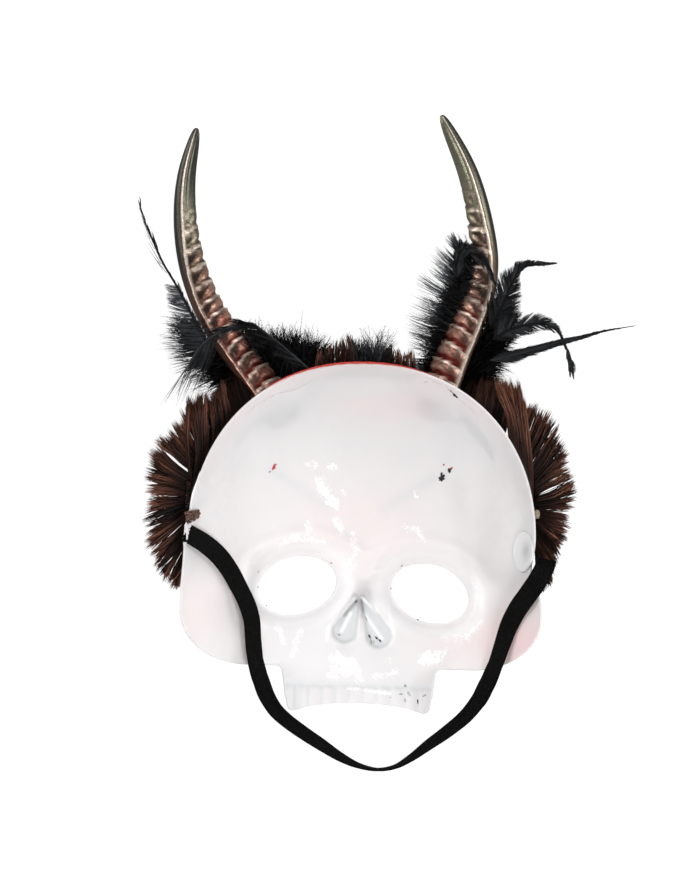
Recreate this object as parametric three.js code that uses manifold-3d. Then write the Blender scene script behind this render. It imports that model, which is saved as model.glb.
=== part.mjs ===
// A half skull mask in thin moulded plastic, with two horns, a bristle fringe, feathers and an elastic strap.
// It lies face down: the inside looks up along +Z, the horns point along +Y, and the wearer's right is at +X.
// Millimetres. The shell is drawn about the midpoint between its eyes, and the finished group is moved at the
// end so that the origin is on the ground under the middle of the object.
import * as THREE from "three";
import { mergeVertices } from "three/addons/utils/BufferGeometryUtils.js";
import Module from "manifold-3d";

// Shell: a deep bowl with a rounded rim line
const WALL = 1.0;
const BOWL_DEPTH = 85;
const BOWL_POWER = 2.2;
const RIM_HALF_WIDTH = 86.3;
const RIM_TOP_HEIGHT = 88.2;
const RIM_CENTRE_Y = 25;
const RIM_POWER = 2.15;
const RIM_FRACTION = 0.945;
const WING_FLARE = 4.2;
const LEFT_TEMPLE_FLARE = 2.8;
const RIGHT_WAIST = 1.6;
const FACE_LIFT = 3.6;
const GAP = 0.3;

// Shell outline below the dome
const WING_CENTRE_X = 55.5;
const WING_CENTRE_Y = -11.5;
const WING_BOTTOM_Y = -39.3;
const NOTCH_X = 41.5;
const JAW_TOP_HALF_WIDTH = 38.6;
const JAW_BOTTOM_HALF_WIDTH = 36.2;
const JAW_CORNER_Y = -61.6;
const JAW_MIDDLE_Y = -57.3;
const JAW_CORNER_RADIUS = 3.6;
const SHELL_BOTTOM_Y = -66;

// Face features
const EYES = [
  { x: -32.1, y: 1.2, turn: 16 },
  { x: 34.4, y: -1.1, turn: -17 },
];
const EYE_HALF_WIDTH = 19.9;
const EYE_HALF_HEIGHT = 14.6;
const SOCKET_DEPTH = 6.5;
const BROW_HEIGHT = 3.2;
const NOSTRILS = [
  { top: [-2.1, -4], low: [-7.6, -20.7], radius: 7 },
  { top: [1, -3.9], low: [9.5, -22.6], radius: 7.3 },
];
const NOSTRIL_TOP_RADIUS = 1;
const NOSE_DEPTH = 4;
const TOOTH_PITCH = 6.9;
const TOOTH_VALLEY_X = 2.3;
const TOOTH_TOP_Y = -48.5;
const TOOTH_ROW_HALF_WIDTH = 36;

// Horns
const HORN_BASE_RADIUS = 9.4;
const HORN_TIP_RADIUS = 1.2;
const HORN_SWELL = 0.38;
const HORN_SIDES = 10;
const RIB_PITCH = 7.4;
const RIB_HEIGHT = 1.0;
const RIBBED_SHARE = 0.73;
const RIB_FADE = 0.2;
const KEEL_SIDE = 3;
const KEEL_HEIGHT = 0.6;
const HORN_SEAT_LIFT = 2.4;
const HORN_SEATS = [
  { x: -44.5, y: 91 },
  { x: 39.5, y: 93.5 },
];

// Strap
const STRAP_WIDTH = 10;
const STRAP_THICKNESS = 1.2;
const STRAP_STEPS = 58;

// Rivet that holds the strap at the right temple
const RIVET_RADIUS = 9.6;
const RIVET_THICKNESS = 1.1;
const RIVET_DIMPLE_RADIUS = 3.4;
const RIVET_DIMPLE_DEPTH = 0.5;
const RIVET_X = 80;
const RIVET_Y = 21.6;

const wasm = await Module();
wasm.setup();

const clamp01 = (v) => Math.min(1, Math.max(0, v));

function smoothstep(from, to, v) {
  const t = clamp01((v - from) / (to - from));
  return t * t * (3 - 2 * t);
}

const bell = (u, v = 0) => Math.exp(-u * u - v * v);

// Distance from an ellipse's middle, 1 on the ellipse
function ellipseDistance(x, y, shape, halfWidth, halfHeight) {
  const turn = THREE.MathUtils.degToRad(shape.turn);
  const dx = x - shape.x;
  const dy = y - shape.y;
  const along = dx * Math.cos(turn) + dy * Math.sin(turn);
  const across = -dx * Math.sin(turn) + dy * Math.cos(turn);
  return Math.hypot(along / halfWidth, across / halfHeight);
}

// Half width of the rim line: the left side flares from the temple down, the right one has a waist under it
function halfWidthAt(y, side) {
  if (side < 0) {
    const temple = LEFT_TEMPLE_FLARE * smoothstep(48, 24, y);
    return RIM_HALF_WIDTH + temple + (WING_FLARE - LEFT_TEMPLE_FLARE) * smoothstep(20, -10, y);
  }
  return RIM_HALF_WIDTH - RIGHT_WAIST * bell((y - 13) / 8) + WING_FLARE * smoothstep(14, -9, y);
}

// How far out a point is: 1 on the rim line
function rimFraction(x, y) {
  const across = Math.abs(x) / halfWidthAt(y, x);
  const up = Math.max(y - RIM_CENTRE_Y, 0) / RIM_TOP_HEIGHT;
  return Math.pow(Math.pow(across, RIM_POWER) + Math.pow(up, RIM_POWER), 1 / RIM_POWER);
}

function bowlHeight(x, y) {
  const r = Math.min(RIM_FRACTION * rimFraction(x, y), 0.992);
  return BOWL_DEPTH * (1 - Math.sqrt(1 - Math.pow(r, BOWL_POWER)));
}

// The eye sockets stand up into the mask, with the brow pressed out above them
function eyeRelief(x, y) {
  let height = 0;
  for (const eye of EYES) {
    const d = ellipseDistance(x, y, eye, EYE_HALF_WIDTH, EYE_HALF_HEIGHT);
    height += SOCKET_DEPTH * smoothstep(1.5, 1.0, d);
    const above = smoothstep(eye.y - 4, eye.y + 9, y);
    height -= BROW_HEIGHT * above * bell((d - 1.72) / 0.27);
  }
  return height;
}

// 0 along the middle of one pear-shaped half of the nose, 1 at its edge
function nostrilDistance(x, y, nostril) {
  const [topX, topY] = nostril.top;
  const runX = nostril.low[0] - topX;
  const runY = nostril.low[1] - topY;
  const along = ((x - topX) * runX + (y - topY) * runY) / (runX ** 2 + runY ** 2);
  const share = Math.min(Math.max(along, 0), 1);
  const radius = NOSTRIL_TOP_RADIUS + (nostril.radius - NOSTRIL_TOP_RADIUS) * share;
  return Math.hypot(x - topX - share * runX, y - topY - share * runY) / radius;
}

// Two pear-shaped hollows of the nose, and the root of the nose above them
function noseRelief(x, y) {
  const bridge = 2.4 * bell(x / 8, (y - 3) / 7);
  const d = Math.min(...NOSTRILS.map((nostril) => nostrilDistance(x, y, nostril)));
  return bridge + NOSE_DEPTH * smoothstep(1.1, 0.72, d);
}

function jawRelief(x, y) {
  const side = Math.abs(x);
  const muzzle = -2.6 * bell(x / 30, (y + 47) / 15);
  const arch = 9 * smoothstep(25, 41, side) * smoothstep(-37, -47, y);
  const inRow = smoothstep(TOOTH_TOP_Y + 1, TOOTH_TOP_Y - 1.5, y) * (side < TOOTH_ROW_HALF_WIDTH ? 1 : 0);
  const teeth = -0.9 * inRow * Math.abs(Math.sin((Math.PI * (x - TOOTH_VALLEY_X)) / TOOTH_PITCH));
  const gum = 0.8 * bell((y - TOOTH_TOP_Y) / 1.8) * smoothstep(39, 34, side);
  return muzzle + arch + teeth + gum;
}

function sideRelief(x, y) {
  const side = Math.abs(x);
  const cheek = -3.4 * bell((side - 62) / 13, (y + 16) / 11);
  const underCheek = 3.6 * bell((side - 47) / 9, (y + 37) / 9);
  const temple = 4.2 * bell((side - 69) / 9, (y - 30) / 19);
  const socketSide = -2.2 * bell((side - 57) / 4.5, (y - 14) / 15);
  return cheek + underCheek + temple + socketSide;
}

// Flat pads where the horns are fixed: a plane lifted off the bowl, blended in where it is higher
const seatPlanes = HORN_SEATS.map((seat) => {
  const step = 0.5;
  const height = bowlHeight(seat.x, seat.y);
  return {
    ...seat,
    height: height + HORN_SEAT_LIFT,
    slopeX: (bowlHeight(seat.x + step, seat.y) - height) / step,
    slopeY: (bowlHeight(seat.x, seat.y + step) - height) / step,
  };
});

function seatRelief(x, y) {
  const bowl = bowlHeight(x, y);
  let lift = 0;
  for (const seat of seatPlanes) {
    if (Math.sign(x) !== Math.sign(seat.x)) continue;
    const plane = seat.height + seat.slopeX * (x - seat.x) + seat.slopeY * (y - seat.y);
    lift = Math.max(lift, Math.min(plane - bowl, HORN_SEAT_LIFT));
  }
  return lift;
}

// Height of the mask's inner surface over the ground
function innerHeight(x, y) {
  const relief = eyeRelief(x, y) + noseRelief(x, y) + jawRelief(x, y) + sideRelief(x, y) + seatRelief(x, y);
  return Math.max(bowlHeight(x, y) + FACE_LIFT + relief, WALL);
}

function innerNormal(x, y) {
  const step = 0.6;
  const slopeX = (innerHeight(x + step, y) - innerHeight(x - step, y)) / (2 * step);
  const slopeY = (innerHeight(x, y + step) - innerHeight(x, y - step)) / (2 * step);
  return new THREE.Vector3(-slopeX, -slopeY, 1).normalize();
}

function innerPoint(x, y, offset = 0) {
  const point = new THREE.Vector3(x, y, innerHeight(x, y));
  return point.addScaledVector(innerNormal(x, y), offset);
}

// Solids and meshes
function geometryOf(vertices, triangles) {
  const geometry = new THREE.BufferGeometry();
  geometry.setAttribute("position", new THREE.Float32BufferAttribute(vertices.flatMap((v) => [v.x, v.y, v.z]), 3));
  geometry.setIndex(triangles.flat());
  return geometry;
}

function solidOf(geometry) {
  const bare = geometry.clone();
  bare.deleteAttribute("normal");
  bare.deleteAttribute("uv");
  const merged = mergeVertices(bare, 1e-4);
  const mesh = new wasm.Mesh({
    numProp: 3,
    vertProperties: new Float32Array(merged.attributes.position.array),
    triVerts: new Uint32Array(merged.index.array),
  });
  return new wasm.Manifold(mesh);
}

function geometryOfSolid(solid) {
  const mesh = solid.getMesh();
  const geometry = new THREE.BufferGeometry();
  geometry.setAttribute("position", new THREE.Float32BufferAttribute(mesh.vertProperties, 3));
  geometry.setIndex([...mesh.triVerts]);
  return geometry;
}

// The largest body of a solid that a cut has left in pieces
function mainBody(solid) {
  return solid.decompose().sort((a, b) => b.volume() - a.volume())[0];
}

// Closed loft: rings of equal count joined in order and capped flat at both ends
function loft(rings) {
  const count = rings[0].length;
  const vertices = rings.flat();
  const triangles = [];
  for (let r = 0; r + 1 < rings.length; r++) {
    for (let i = 0; i < count; i++) {
      const a = r * count + i;
      const b = r * count + ((i + 1) % count);
      triangles.push([a, b, b + count], [a, b + count, a + count]);
    }
  }
  const last = (rings.length - 1) * count;
  for (let i = 1; i + 1 < count; i++) {
    triangles.push([0, i + 1, i], [last, last + i, last + i + 1]);
  }
  const geometry = geometryOf(vertices, triangles);
  return solidOf(geometry).volume() > 0 ? geometry : geometryOf(vertices, triangles.map((t) => [t[0], t[2], t[1]]));
}

// Polar sheet of points from the middle of the face out past the rim
const SHEET_CENTRE = { x: 0, y: 12 };
const SHEET_SPOKES = 72;
const SHEET_RINGS = 17;
const SHEET_SWEEP = THREE.MathUtils.degToRad(74);

function sheetReach(angle) {
  let inside = 0;
  let outside = 140;
  for (let i = 0; i < 30; i++) {
    const reach = (inside + outside) / 2;
    const x = SHEET_CENTRE.x + reach * Math.cos(angle);
    const y = SHEET_CENTRE.y + reach * Math.sin(angle);
    if (rimFraction(x, y) > 1.02 || y < SHELL_BOTTOM_Y) outside = reach;
    else inside = reach;
  }
  return inside;
}

function sheetPoints(offset) {
  const points = [innerPoint(SHEET_CENTRE.x, SHEET_CENTRE.y, offset)];
  for (let ring = 1; ring <= SHEET_RINGS; ring++) {
    const share = Math.sin((SHEET_SWEEP * ring) / SHEET_RINGS) / Math.sin(SHEET_SWEEP);
    for (let spoke = 0; spoke < SHEET_SPOKES; spoke++) {
      const angle = (2 * Math.PI * spoke) / SHEET_SPOKES;
      const reach = sheetReach(angle) * share;
      const x = SHEET_CENTRE.x + reach * Math.cos(angle);
      const y = SHEET_CENTRE.y + reach * Math.sin(angle);
      points.push(innerPoint(x, y, offset));
    }
  }
  return points;
}

// Solid between two sheets that share their layout, the first one above the second
function betweenSheets(upper, lower) {
  const triangles = [];
  const at = (ring, spoke) => (ring === 0 ? 0 : 1 + (ring - 1) * SHEET_SPOKES + (spoke % SHEET_SPOKES));
  const below = upper.length;
  for (let ring = 0; ring < SHEET_RINGS; ring++) {
    for (let spoke = 0; spoke < SHEET_SPOKES; spoke++) {
      const a = at(ring, spoke);
      const b = at(ring + 1, spoke);
      const c = at(ring + 1, spoke + 1);
      const d = at(ring, spoke + 1);
      triangles.push([a, b, c], [a + below, c + below, b + below]);
      if (ring > 0) triangles.push([a, c, d], [a + below, d + below, c + below]);
    }
  }
  for (let spoke = 0; spoke < SHEET_SPOKES; spoke++) {
    const a = at(SHEET_RINGS, spoke);
    const b = at(SHEET_RINGS, spoke + 1);
    triangles.push([a, a + below, b + below], [a, b + below, b]);
  }
  return solidOf(geometryOf([...upper, ...lower], triangles));
}

function prism(points, low, high) {
  const outline = new THREE.Shape(points);
  const geometry = new THREE.ExtrudeGeometry(outline, { depth: high - low, bevelEnabled: false, steps: 1 });
  geometry.translate(0, 0, low);
  return solidOf(geometry);
}

function ellipsePoints(shape, halfWidth, halfHeight, count) {
  const turn = THREE.MathUtils.degToRad(shape.turn);
  return Array.from({ length: count }, (_, i) => {
    const angle = (2 * Math.PI * i) / count;
    const point = new THREE.Vector2(halfWidth * Math.cos(angle), halfHeight * Math.sin(angle));
    return point.rotateAround(new THREE.Vector2(), turn).add(new THREE.Vector2(shape.x, shape.y));
  });
}

// One half of the shell's outline, from the middle of the jaw round to the top of the dome, drawn at +X
function halfOutline(side) {
  const points = [];
  const arc = (cx, cy, rx, ry, from, to, steps) => {
    for (let i = 0; i <= steps; i++) {
      const angle = THREE.MathUtils.degToRad(from + ((to - from) * i) / steps);
      points.push(new THREE.Vector2(cx + rx * Math.cos(angle), cy + ry * Math.sin(angle)));
    }
  };
  const jawEnd = JAW_BOTTOM_HALF_WIDTH - JAW_CORNER_RADIUS;
  for (let i = 0; i < 6; i++) {
    const x = (jawEnd * i) / 6;
    points.push(new THREE.Vector2(x, JAW_MIDDLE_Y + (JAW_CORNER_Y - JAW_MIDDLE_Y) * Math.pow(x / jawEnd, 2.4)));
  }
  arc(jawEnd, JAW_CORNER_Y + JAW_CORNER_RADIUS, JAW_CORNER_RADIUS, JAW_CORNER_RADIUS, -80, -6, 3);
  const fillet = NOTCH_X - JAW_TOP_HALF_WIDTH;
  arc(NOTCH_X, WING_BOTTOM_Y - fillet, fillet, fillet, 180, 95, 3);
  arc(WING_CENTRE_X, WING_CENTRE_Y, halfWidthAt(WING_CENTRE_Y, side) - WING_CENTRE_X, WING_CENTRE_Y - WING_BOTTOM_Y, -84, 0, 9);
  const sideSteps = 8;
  const sideTop = RIM_CENTRE_Y + 24;
  const domeStart = Math.asin(Math.pow((sideTop - RIM_CENTRE_Y) / RIM_TOP_HEIGHT, RIM_POWER / 2));
  for (let i = 1; i < sideSteps; i++) {
    const y = WING_CENTRE_Y + ((sideTop - WING_CENTRE_Y) * i) / sideSteps;
    const up = Math.max(y - RIM_CENTRE_Y, 0) / RIM_TOP_HEIGHT;
    const across = Math.pow(1 - Math.pow(up, RIM_POWER), 1 / RIM_POWER);
    points.push(new THREE.Vector2(halfWidthAt(y, side) * across, y));
  }
  const domeSteps = 18;
  for (let i = 0; i <= domeSteps; i++) {
    const angle = domeStart + ((Math.PI / 2 - domeStart) * i) / domeSteps;
    const x = RIM_HALF_WIDTH * Math.pow(Math.cos(angle), 2 / RIM_POWER);
    const y = RIM_CENTRE_Y + RIM_TOP_HEIGHT * Math.pow(Math.sin(angle), 2 / RIM_POWER);
    points.push(new THREE.Vector2(i === domeSteps ? 0 : x, y));
  }
  return points;
}

function shellOutline() {
  const right = halfOutline(1);
  const left = halfOutline(-1).slice(1, -1).reverse().map((p) => new THREE.Vector2(-p.x, p.y));
  return [...right, ...left];
}

const TALL = 140;
const innerSheet = sheetPoints(0);

function makeShell() {
  let shell = betweenSheets(innerSheet, sheetPoints(-WALL)).intersect(prism(shellOutline(), -20, TALL));
  for (const eye of EYES) {
    shell = shell.subtract(prism(ellipsePoints(eye, EYE_HALF_WIDTH, EYE_HALF_HEIGHT, 36), -20, TALL));
  }
  return mainBody(shell);
}

// Everything inside the mask and in its wall, with the gap that neighbours keep: it is cut from what sits outside
function makeInsideSpace() {
  const lid = innerSheet.map((p) => new THREE.Vector3(p.x * 1.04, p.y * 1.02, TALL));
  return betweenSheets(lid, sheetPoints(-WALL - GAP));
}

// Horns: a curved tapering round with a keel, and ribs across the inner face
const HORN_ROUTES = {
  left: {
    inner: 1,
    points: [
      [-41, 86, 33],
      [-50.5, 99, 23.5],
      [-60.8, 112, 15.6],
      [-71.2, 125.5, 10.8],
      [-80.6, 140, 6.2],
      [-88.2, 158, 5.2],
      [-92.6, 179, 7.4],
      [-93.2, 202.5, 12.6],
      [-88.4, 229, 21],
    ],
  },
  right: {
    inner: -1,
    points: [
      [34.5, 91, 34],
      [38.4, 105.5, 24],
      [43.4, 119.5, 15.8],
      [49.8, 134.5, 8.2],
      [55.6, 150, 5.7],
      [57.5, 164.8, 5.2],
      [56, 180, 7.2],
      [48.5, 209, 13],
      [34, 238.6, 22],
    ],
  },
};

const hornRadius = (share) => Math.max(HORN_BASE_RADIUS * Math.pow(1 - share, HORN_SWELL), HORN_TIP_RADIUS);

function ribHeight(share, length) {
  if (share > RIBBED_SHARE) return 0;
  const fade = smoothstep(RIBBED_SHARE, RIBBED_SHARE - RIB_FADE, share);
  return RIB_HEIGHT * fade * Math.cos((2 * Math.PI * share * length) / RIB_PITCH);
}

function hornStations(length) {
  const stations = [];
  const ribStep = RIB_PITCH / 2 / length;
  for (let share = 0; share < RIBBED_SHARE; share += ribStep) stations.push(share);
  const smoothSteps = 9;
  const from = stations.at(-1);
  for (let i = 1; i <= smoothSteps; i++) {
    stations.push(1 - (1 - from) * Math.pow(1 - i / smoothSteps, 1.7));
  }
  return stations;
}

function makeHorn(route, insideSpace) {
  const curve = new THREE.CatmullRomCurve3(route.points.map((p) => new THREE.Vector3(...p)));
  const length = curve.getLength();
  const up = new THREE.Vector3(0, 0, 1);
  const rings = hornStations(length).map((share) => {
    const centre = curve.getPointAt(share);
    const along = curve.getTangentAt(share);
    const top = up.clone().addScaledVector(along, -up.dot(along)).normalize();
    const side = along.clone().cross(top).multiplyScalar(route.inner);
    return Array.from({ length: HORN_SIDES }, (_, i) => {
      const angle = (2 * Math.PI * i) / HORN_SIDES;
      const onRibs = smoothstep(-0.45, 0.5, Math.cos(angle)) * smoothstep(-0.9, 0, Math.sin(angle));
      const keel = i === KEEL_SIDE ? KEEL_HEIGHT * smoothstep(1, 0.9, share) : 0;
      const radius = hornRadius(share) + keel + onRibs * ribHeight(share, length);
      const point = centre.clone().addScaledVector(side, radius * Math.cos(angle));
      point.addScaledVector(top, radius * Math.sin(angle));
      point.z = Math.max(point.z, 0);
      return point;
    });
  });
  return mainBody(solidOf(loft(rings)).subtract(insideSpace));
}

// Bristle fringe: a fan of hair between a root line under the rim and the line of its tips
const FRINGE_ROOT_THICKNESS = 4.6;
const FRINGE_TIP_THICKNESS = 6;
const FRINGE_ROWS_PER_STATION = 3;
const TUFT_DEPTH = 0.1;
const FRINGES = {
  bristle_fringe_left: {
    rootZ: 45.5,
    tipZ: 46,
    stations: [
      { root: [-84, 11.5], tip: [-90.5, -2] },
      { root: [-84.5, 18], tip: [-101.5, 4] },
      { root: [-85, 25], tip: [-109, 20] },
      { root: [-85, 33], tip: [-111, 37] },
      { root: [-84, 43], tip: [-110.5, 54] },
      { root: [-81.5, 53], tip: [-107.5, 68] },
      { root: [-78, 62], tip: [-101.5, 82] },
      { root: [-73, 71], tip: [-91.5, 95] },
      { root: [-67, 79], tip: [-80, 103] },
      { root: [-61, 85.5], tip: [-72.5, 108.5] },
    ],
  },
  bristle_fringe_top: {
    rootZ: 45.5,
    tipZ: 47,
    stations: [
      { root: [-27, 104], tip: [-32, 123] },
      { root: [-16, 108], tip: [-18, 127] },
      { root: [-5, 110], tip: [-6, 128] },
      { root: [6, 110], tip: [5, 128] },
      { root: [15, 108.5], tip: [17, 127] },
      { root: [22, 106.5], tip: [27, 122] },
    ],
  },
  bristle_fringe_right: {
    rootZ: 44.5,
    tipZ: 45,
    stations: [
      { root: [84, 17], tip: [95.5, 2] },
      { root: [84.5, 24], tip: [101.5, 18] },
      { root: [85, 31], tip: [105.5, 31] },
      { root: [84.5, 39], tip: [107.5, 46] },
      { root: [83, 48], tip: [106.5, 62] },
      { root: [80, 57], tip: [102, 78] },
      { root: [76, 66], tip: [95.5, 92] },
      { root: [71, 74], tip: [85, 100] },
      { root: [65, 81], tip: [75.5, 110.5] },
      { root: [59, 87], tip: [68, 112] },
    ],
  },
};

function makeFringe(fringe, insideSpace) {
  const rootCurve = new THREE.CatmullRomCurve3(
    fringe.stations.map((s) => new THREE.Vector3(s.root[0], s.root[1], fringe.rootZ)),
  );
  const tipCurve = new THREE.CatmullRomCurve3(
    fringe.stations.map((s) => new THREE.Vector3(s.tip[0], s.tip[1], fringe.tipZ)),
  );
  const rows = (fringe.stations.length - 1) * FRINGE_ROWS_PER_STATION;
  const rings = [];
  for (let i = 0; i <= rows; i++) {
    const root = rootCurve.getPoint(i / rows);
    const tip = tipCurve.getPoint(i / rows);
    const shortened = i % 2 === 1 ? TUFT_DEPTH : 0;
    tip.lerp(root, shortened);
    const ring = [
      [root, -FRINGE_ROOT_THICKNESS / 2],
      [tip, -FRINGE_TIP_THICKNESS / 2],
      [tip, FRINGE_TIP_THICKNESS / 2],
      [root, FRINGE_ROOT_THICKNESS / 2],
    ].map(([p, rise]) => new THREE.Vector3(p.x, p.y, p.z + rise));
    rings.push(ring);
  }
  return mainBody(solidOf(loft(rings)).subtract(insideSpace));
}

// Feathers: flat blades of four sides along a curve, each wide where its barbs are full
const FEATHERS = {
  feather_left_spire: {
    thickness: 1.4,
    widths: [6, 11, 9, 5, 3, 1.6, 1],
    points: [
      [-79, 119, 32],
      [-87.5, 127, 28],
      [-97.5, 143, 25],
      [-103.5, 159, 22],
      [-107.5, 170, 20],
      [-112.5, 181.5, 18],
      [-116.2, 191, 17],
    ],
  },
  feather_left_down: {
    thickness: 3,
    widths: [8, 18, 20, 14, 4],
    points: [
      [-66, 105, 36],
      [-78, 113, 36],
      [-86, 122, 36],
      [-92, 133, 35],
      [-96, 147, 34],
    ],
  },
  feather_left_crossing: {
    thickness: 1.2,
    widths: [1.6, 2, 3, 4, 6, 6, 3],
    points: [
      [-29.5, 112, 52],
      [-41, 119.5, 44],
      [-51.5, 127.5, 37],
      [-61.5, 132.5, 31],
      [-76, 126, 41],
      [-85, 110, 49],
      [-93.5, 87, 54],
    ],
  },
  feather_left_inner: {
    thickness: 4,
    widths: [10, 20, 22, 16, 8],
    points: [
      [-40, 104, 39],
      [-45, 113, 34],
      [-42, 122, 31],
      [-36, 123, 31],
      [-27, 120, 34],
    ],
  },
  feather_top: {
    thickness: 1.6,
    widths: [4, 9, 10, 4],
    points: [
      [1.5, 112, 52],
      [2, 119, 52.5],
      [4, 127, 53],
      [11, 134, 53],
    ],
  },
  feather_right_plume: {
    thickness: 4,
    widths: [12, 24, 26, 26, 22, 8],
    points: [
      [28, 110, 38],
      [30, 122, 33],
      [33, 138, 28],
      [37, 154, 24],
      [41, 168, 22.5],
      [40, 182, 23],
    ],
  },
  feather_right_arching: {
    thickness: 1.4,
    widths: [3, 7, 8, 7, 3],
    points: [
      [45.5, 150, 21],
      [46, 164, 19.5],
      [50.5, 171.5, 18.5],
      [57, 167, 18.5],
      [64, 155, 18.5],
    ],
  },
  feather_right_curled: {
    thickness: 2,
    widths: [8, 13, 16, 15, 7, 2],
    points: [
      [54, 112, 33],
      [63, 128, 27],
      [71, 146, 22],
      [76, 159, 19],
      [83, 166.5, 17],
      [93.5, 167, 16],
    ],
  },
  feather_right_drooping: {
    thickness: 1.8,
    widths: [7, 11, 10, 7, 3, 1.4],
    points: [
      [60, 112, 38],
      [70, 128, 34],
      [81, 137, 31.5],
      [91, 135, 30],
      [98, 126, 28.5],
      [102.5, 110, 27],
    ],
  },
  feather_right_spire: {
    thickness: 1.2,
    widths: [4, 7, 7, 4, 2, 1],
    points: [
      [62, 109, 29],
      [72, 116, 26],
      [84, 122.5, 23],
      [99, 127.5, 20],
      [117, 131.5, 17],
      [134, 135.5, 14],
    ],
  },
  feather_right_down: {
    thickness: 3,
    widths: [10, 20, 20, 12],
    points: [
      [56, 103, 52.5],
      [64, 114, 51.5],
      [68, 126, 50],
      [69, 136, 48],
    ],
  },
};

const FEATHER_STEPS = 8;

function interpolate(values, share) {
  const place = share * (values.length - 1);
  const low = Math.min(Math.floor(place), values.length - 2);
  return THREE.MathUtils.lerp(values[low], values[low + 1], place - low);
}

function makeFeather(feather, insideSpace) {
  const curve = new THREE.CatmullRomCurve3(feather.points.map((p) => new THREE.Vector3(...p)));
  const up = new THREE.Vector3(0, 0, 1);
  const rings = [];
  for (let i = 0; i <= FEATHER_STEPS; i++) {
    const share = i / FEATHER_STEPS;
    const centre = curve.getPoint(share);
    const along = curve.getTangent(share);
    const side = along.clone().cross(up).normalize();
    const top = side.clone().cross(along).normalize();
    const halfWidth = interpolate(feather.widths, share) / 2;
    const halfThickness = Math.min(feather.thickness / 2, halfWidth);
    rings.push([
      centre.clone().addScaledVector(side, halfWidth),
      centre.clone().addScaledVector(top, halfThickness),
      centre.clone().addScaledVector(side, -halfWidth),
      centre.clone().addScaledVector(top, -halfThickness),
    ]);
  }
  return mainBody(solidOf(loft(rings)).subtract(insideSpace));
}

// Strap: a flat elastic band. Each point has the lean of its width from the ground, 90 where it stands on edge.
const STRAP_ROUTE = [
  { at: [-86.4, 26.6, 58.4], lean: 36 },
  { at: [-79, 21.6, 48], lean: 31 },
  { at: [-71.6, 15.4, 38], lean: 31 },
  { at: [-66, 8.2, 30.6], lean: 34 },
  { at: [-61.2, -0.2, 25.6], lean: 36 },
  { at: [-57, -8.4, 24], lean: 36 },
  { at: [-54.4, -16.6, 21.6], lean: 38 },
  { at: [-53.4, -26.4, 21.2], lean: 40 },
  { at: [-52, -36.6, 23.6], lean: 42 },
  { at: [-49.2, -46.2, 17.6], lean: 45 },
  { at: [-45.4, -55.4, 9.4], lean: 46 },
  { at: [-41.2, -61.8, 5.8], lean: 47 },
  { at: [-36.2, -66.4, 4.5], lean: 49 },
  { at: [-28.6, -71.8, 4.5], lean: 52 },
  { at: [-18.4, -78.2, 4.8], lean: 57 },
  { at: [-8.2, -84.4, 5.2], lean: 68 },
  { at: [0.8, -88.4, 5.3], lean: 80 },
  { at: [10.6, -90.2, 5.3], lean: 88 },
  { at: [19.2, -88.6, 5.3], lean: 84 },
  { at: [27.2, -83.9, 5.2], lean: 74 },
  { at: [35.8, -77.2, 5], lean: 63 },
  { at: [44.8, -70.4, 4.9], lean: 56 },
  { at: [53.6, -62.6, 7.4], lean: 52 },
  { at: [59.8, -54.4, 13.4], lean: 51 },
  { at: [64, -46, 23.4], lean: 50 },
  { at: [67.6, -36.8, 31.6], lean: 48 },
  { at: [71, -26, 33.2], lean: 41 },
  { at: [74, -16.4, 36], lean: 32 },
  { at: [78.2, -7.4, 44.2], lean: 26 },
  { at: [83, 0.2, 55.6], lean: 21 },
  { at: [87.4, 7.2, 63], lean: 12 },
  { at: [90.6, 13.4, 61.8], lean: 4 },
  { at: [91.8, 18, 56.6], lean: 0 },
];

function makeStrap() {
  const centres = new THREE.CatmullRomCurve3(STRAP_ROUTE.map((p) => new THREE.Vector3(...p.at)));
  const leans = STRAP_ROUTE.map((p) => p.lean);
  const rings = [];
  for (let i = 0; i <= STRAP_STEPS; i++) {
    const share = i / STRAP_STEPS;
    const centre = centres.getPoint(share);
    const along = centres.getTangent(share);
    const lean = THREE.MathUtils.degToRad(interpolate(leans, share));
    const level = new THREE.Vector3(along.y, -along.x, 0).normalize();
    const width = level.multiplyScalar(Math.cos(lean)).add(new THREE.Vector3(0, 0, Math.sin(lean)));
    width.addScaledVector(along, -width.dot(along)).normalize();
    const face = along.clone().cross(width);
    const halfWidth = STRAP_WIDTH / 2;
    const halfThickness = STRAP_THICKNESS / 2;
    const corner = 0.8;
    const section = [
      [-1, 0.4], [-corner, 1], [corner, 1], [1, 0.4], [1, -0.4], [corner, -1], [-corner, -1], [-1, -0.4],
    ];
    rings.push(section.map(([u, v]) => centre.clone()
      .addScaledVector(width, u * halfWidth)
      .addScaledVector(face, v * halfThickness)));
  }
  return loft(rings);
}

// Rivet disc inside the right temple, with a dimple in its flat head
function makeRivet() {
  const profile = [
    [0, 0], [RIVET_RADIUS, 0], [RIVET_RADIUS, RIVET_THICKNESS * 0.6], [RIVET_RADIUS - 0.5, RIVET_THICKNESS],
    [RIVET_DIMPLE_RADIUS, RIVET_THICKNESS],
    [RIVET_DIMPLE_RADIUS - 0.6, RIVET_THICKNESS - RIVET_DIMPLE_DEPTH], [0, RIVET_THICKNESS - RIVET_DIMPLE_DEPTH],
  ].map(([r, h]) => new THREE.Vector2(r, h));
  const disc = new THREE.LatheGeometry(profile, 28);
  disc.rotateX(Math.PI / 2);
  return disc;
}

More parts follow.
